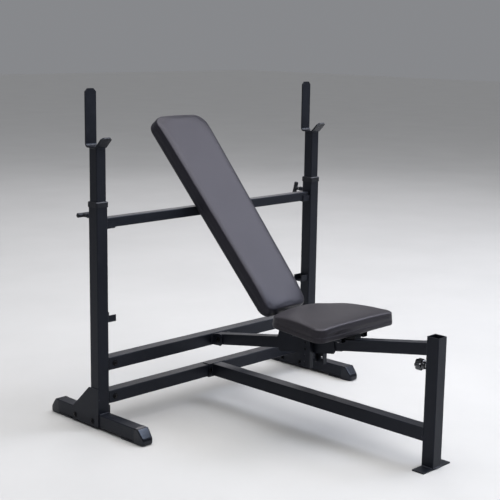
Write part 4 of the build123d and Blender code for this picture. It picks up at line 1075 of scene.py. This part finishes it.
# %% Beads on moving bodies
rail_low, rail_high = node_box("seat_rails")
seat_beads = []
for name, side in SIDES.items():
    tube_low, tube_high = node_box(name + "_inner_upright")
    half = (tube_high[0] - tube_low[0]) / 2
    under_plate = square_beads((side * UPRIGHT_X, UPRIGHT_Y, tube_high[2]), (0, 0, 1), half)
    add_shells(name + "_holder_weld", under_plate, sliding_coat, name + "_inner_upright",
               (), 80)
    post_low, post_high = node_box(name + "_seat_post")
    x = side * max(abs(post_low[0]), abs(post_high[0]))
    for y in (post_low[1], post_high[1]):
        seat_beads.append(straight_bead((x, y, rail_low[2] + 3 * MM), (x, y, rail_high[2] - 2 * MM)))
    seat_beads.append(straight_bead((x, post_low[1] + STOP_SHORT, rail_low[2]),
                                    (x, post_high[1] - STOP_SHORT, rail_low[2])))
add_shells("seat_weld_beads", seat_beads, bead_coat_painted_highlight, "seat", (), 80)

# %% [markdown]
# The round-headed bolts sit on flat washers. A washer is a lathe ring with a bore, so its
# profile goes out along one face, round the rim and back along the other.

# %% Washers
def washer(centre, outward, bore, radius, thickness=1.4 * MM, columns=40):
    """Rings of a flat washer with softened rims; the first and last ring meet in the bore."""
    along = np.array([0.05, 0.0, 0.0, 0.25, 1.15, 1.4, 1.4, 1.35]) / 1.4 * thickness
    wide = np.array([bore, bore + 0.2 * MM, radius - 0.3 * MM, radius, radius, radius - 0.3 * MM,
                     bore + 0.2 * MM, bore])
    return lathe(centre, outward, along, wide, columns)


def washer_mesh(name, washers):
    """Washers are open rings, so each closes on itself instead of getting fans."""
    points, faces, start = [], [], 0
    for rings in washers:
        rows, columns, _ = rings.shape
        faces += (start + ring_faces(rows + 1, columns, 0) % (rows * columns)).tolist()
        points.append(rings.reshape(-1, 3))
        start += rows * columns
    return closed_mesh(name, points, faces)


def loose_boxes(node):
    """Lowest and highest corner of each separate solid in a node.

    Every vertex starts with its own label; each edge passes the smaller label on until nothing
    changes, so a solid ends up with one label.
    """
    mesh = frame["nodes"][node].data
    points = corners_of(mesh)
    _, same = np.unique(np.round(points * 1e5).astype(int), axis=0, return_inverse=True)
    same = same.ravel()
    edges = np.empty(len(mesh.edges) * 2, int)
    mesh.edges.foreach_get("vertices", edges)
    edges = same[edges.reshape(-1, 2)]
    label = np.arange(same.max() + 1)
    changed = True
    while changed:
        lower = np.minimum(label[edges[:, 0]], label[edges[:, 1]])
        after = label.copy()
        np.minimum.at(after, edges[:, 0], lower)
        np.minimum.at(after, edges[:, 1], lower)
        after = after[after]
        changed = not np.array_equal(after, label)
        label = after
    label = label[same]
    return [(points[label == k].min(0), points[label == k].max(0)) for k in np.unique(label)]


HEAD_HEIGHT = 4.5 * MM


def bolt_washers(node, axis, sign=None):
    """A washer under each dome head of a node's bolts.

    The head is at the bolt's end on the side that sign gives, or on the one away from the middle.
    """
    rings = []
    for low, high in loose_boxes(node):
        middle = (low + high) / 2
        out = sign or (1 if middle[axis] > 0 else -1)
        centre = middle.copy()
        centre[axis] = (high[axis] if out > 0 else low[axis]) - out * HEAD_HEIGHT
        direction = np.zeros(3)
        direction[axis] = out
        radius = (high[(axis + 1) % 3] - low[(axis + 1) % 3]) / 2
        rings.append(washer(centre, direction, radius - 0.6 * MM, radius + 2.6 * MM))
    return rings


washers = bolt_washers("foot_bolts", 0) + bolt_washers("crossbar_bolts", 1, -1)
washers += bolt_washers("main_beam_bolt", 0, -1) + bolt_washers("hinge_bolt", 0, -1)
add_piece("bolt_washers", washer_mesh("bolt_washers", washers), black_steel, "frame")

# %% [markdown]
# ## Floor, light and camera
# A black object needs a pale floor round it: the floor shows its outline and, mirrored in the
# paint, lifts its undersides. The floor is large enough for its far edge to meet the sky in much
# the same grey, so the edge hardly shows.

# %% Floor
def pale_floor():
    """Smooth pale floor with hardly visible cloudiness."""
    finish = Finish("pale_floor")
    cloud = finish.noise(1.6, 5.0, 0.6)
    speck = finish.noise(60.0, 4.0, 0.6)
    colour = finish.mix(cloud, (0.38, 0.38, 0.38), (0.45, 0.45, 0.45))
    normal = finish.bump(speck, 0.0004, 0.2)
    return finish.set(Base_Color=colour, Roughness=0.62 + 0.1 * cloud, Normal=normal)


FLOOR_HALF = 30.0
floor_mesh = bpy.data.meshes.new("floor")
floor_corners = [(-FLOOR_HALF, -FLOOR_HALF, 0), (FLOOR_HALF, -FLOOR_HALF, 0),
                 (FLOOR_HALF, FLOOR_HALF, 0), (-FLOOR_HALF, FLOOR_HALF, 0)]
floor_mesh.from_pydata(floor_corners, [], [(0, 1, 2, 3)])
floor_mesh.materials.append(pale_floor())
floor = bpy.data.objects.new("floor", floor_mesh)
bpy.context.scene.collection.objects.link(floor)
print("floor", 2 * FLOOR_HALF, "m across")

# %% [markdown]
# One very large soft light overhead keeps the black frame readable, because its reflection draws
# every rounded edge. Weaker lights on the right, in front and behind, shape the pads and caps, and
# the front one is bluish, like a window. A wide, even sky opens the shadows.

# %% Lights
def area_light(name, place, target, size, power, colour=(1, 1, 1)):
    """A square area light that faces a target."""
    data = bpy.data.lights.new(name, "AREA")
    data.size = size
    data.energy = power
    data.color = colour
    light = bpy.data.objects.new(name, data)
    bpy.context.scene.collection.objects.link(light)
    light.location = place
    light.rotation_mode = "QUATERNION"
    light.rotation_quaternion = (Vector(target) - Vector(place)).to_track_quat("-Z", "Y")
    print(name, power, "W")


area_light("overhead", (0.1, -0.4, 6.4), (0, 0, 0.3), 6.0, 560, (1.0, 0.985, 0.97))
area_light("high_right", (4.4, -1.4, 5.4), (0, 0.3, 0.8), 3.2, 215, (0.94, 0.93, 1.0))
area_light("front_window", (3.45, -3.05, 4.25), (-0.6, 0.15, 0.04), 2.5, 150, (0.74, 0.84, 1.0))
area_light("far_right", (5.0, 5.6, 3.3), (0, 0, 0.5), 2.4, 34, (1.0, 0.97, 1.0))
sky_data = bpy.data.lights.new("even_sky", "SUN")
sky_data.energy = 0.9
sky_data.angle = math.radians(80)
sky = bpy.data.objects.new("even_sky", sky_data)
bpy.context.scene.collection.objects.link(sky)

world = bpy.data.worlds.new("pale_room")
world.use_nodes = True
world.node_tree.nodes["Background"].inputs["Color"].default_value = (0.93, 0.95, 1.0, 1)
world.node_tree.nodes["Background"].inputs["Strength"].default_value = 0.26
bpy.context.scene.world = world
bpy.context.scene.view_settings.view_transform = "Standard"

# %% [markdown]
# The camera stands in front and to the left, a metre and a half up, and looks across the bench at
# 45 degrees, a little downwards. Its axes are turned one by one: ahead, right and up, then a roll.

# %% Camera
CAMERA_PLACE = Vector((-3.2290, UPRIGHT_Y - 3.3850, 1.5164))
YAW, PITCH, ROLL = (math.radians(angle) for angle in (45.516, -10.77, 0.829))
FOCAL_LENGTH = 82.66

camera_data = bpy.data.cameras.new("camera")
camera_data.lens = FOCAL_LENGTH
camera_data.sensor_width = 36.0
camera_data.clip_start = 0.05
camera_data.clip_end = 200
camera = bpy.data.objects.new("camera", camera_data)
bpy.context.scene.collection.objects.link(camera)
ahead = Vector((math.sin(YAW) * math.cos(PITCH), math.cos(YAW) * math.cos(PITCH), math.sin(PITCH)))
right = Vector((math.cos(YAW), -math.sin(YAW), 0))
up = right.cross(ahead)
rolled_right = right * math.cos(ROLL) + up * math.sin(ROLL)
rolled_up = up * math.cos(ROLL) - right * math.sin(ROLL)
axes = Matrix((rolled_right, rolled_up, -ahead)).transposed()
camera.matrix_world = Matrix.Translation(CAMERA_PLACE) @ axes.to_4x4()
bpy.context.scene.camera = camera
print("camera", round((CAMERA_PLACE - Vector((0, 0, 0.6))).length, 2), "m from the bench")
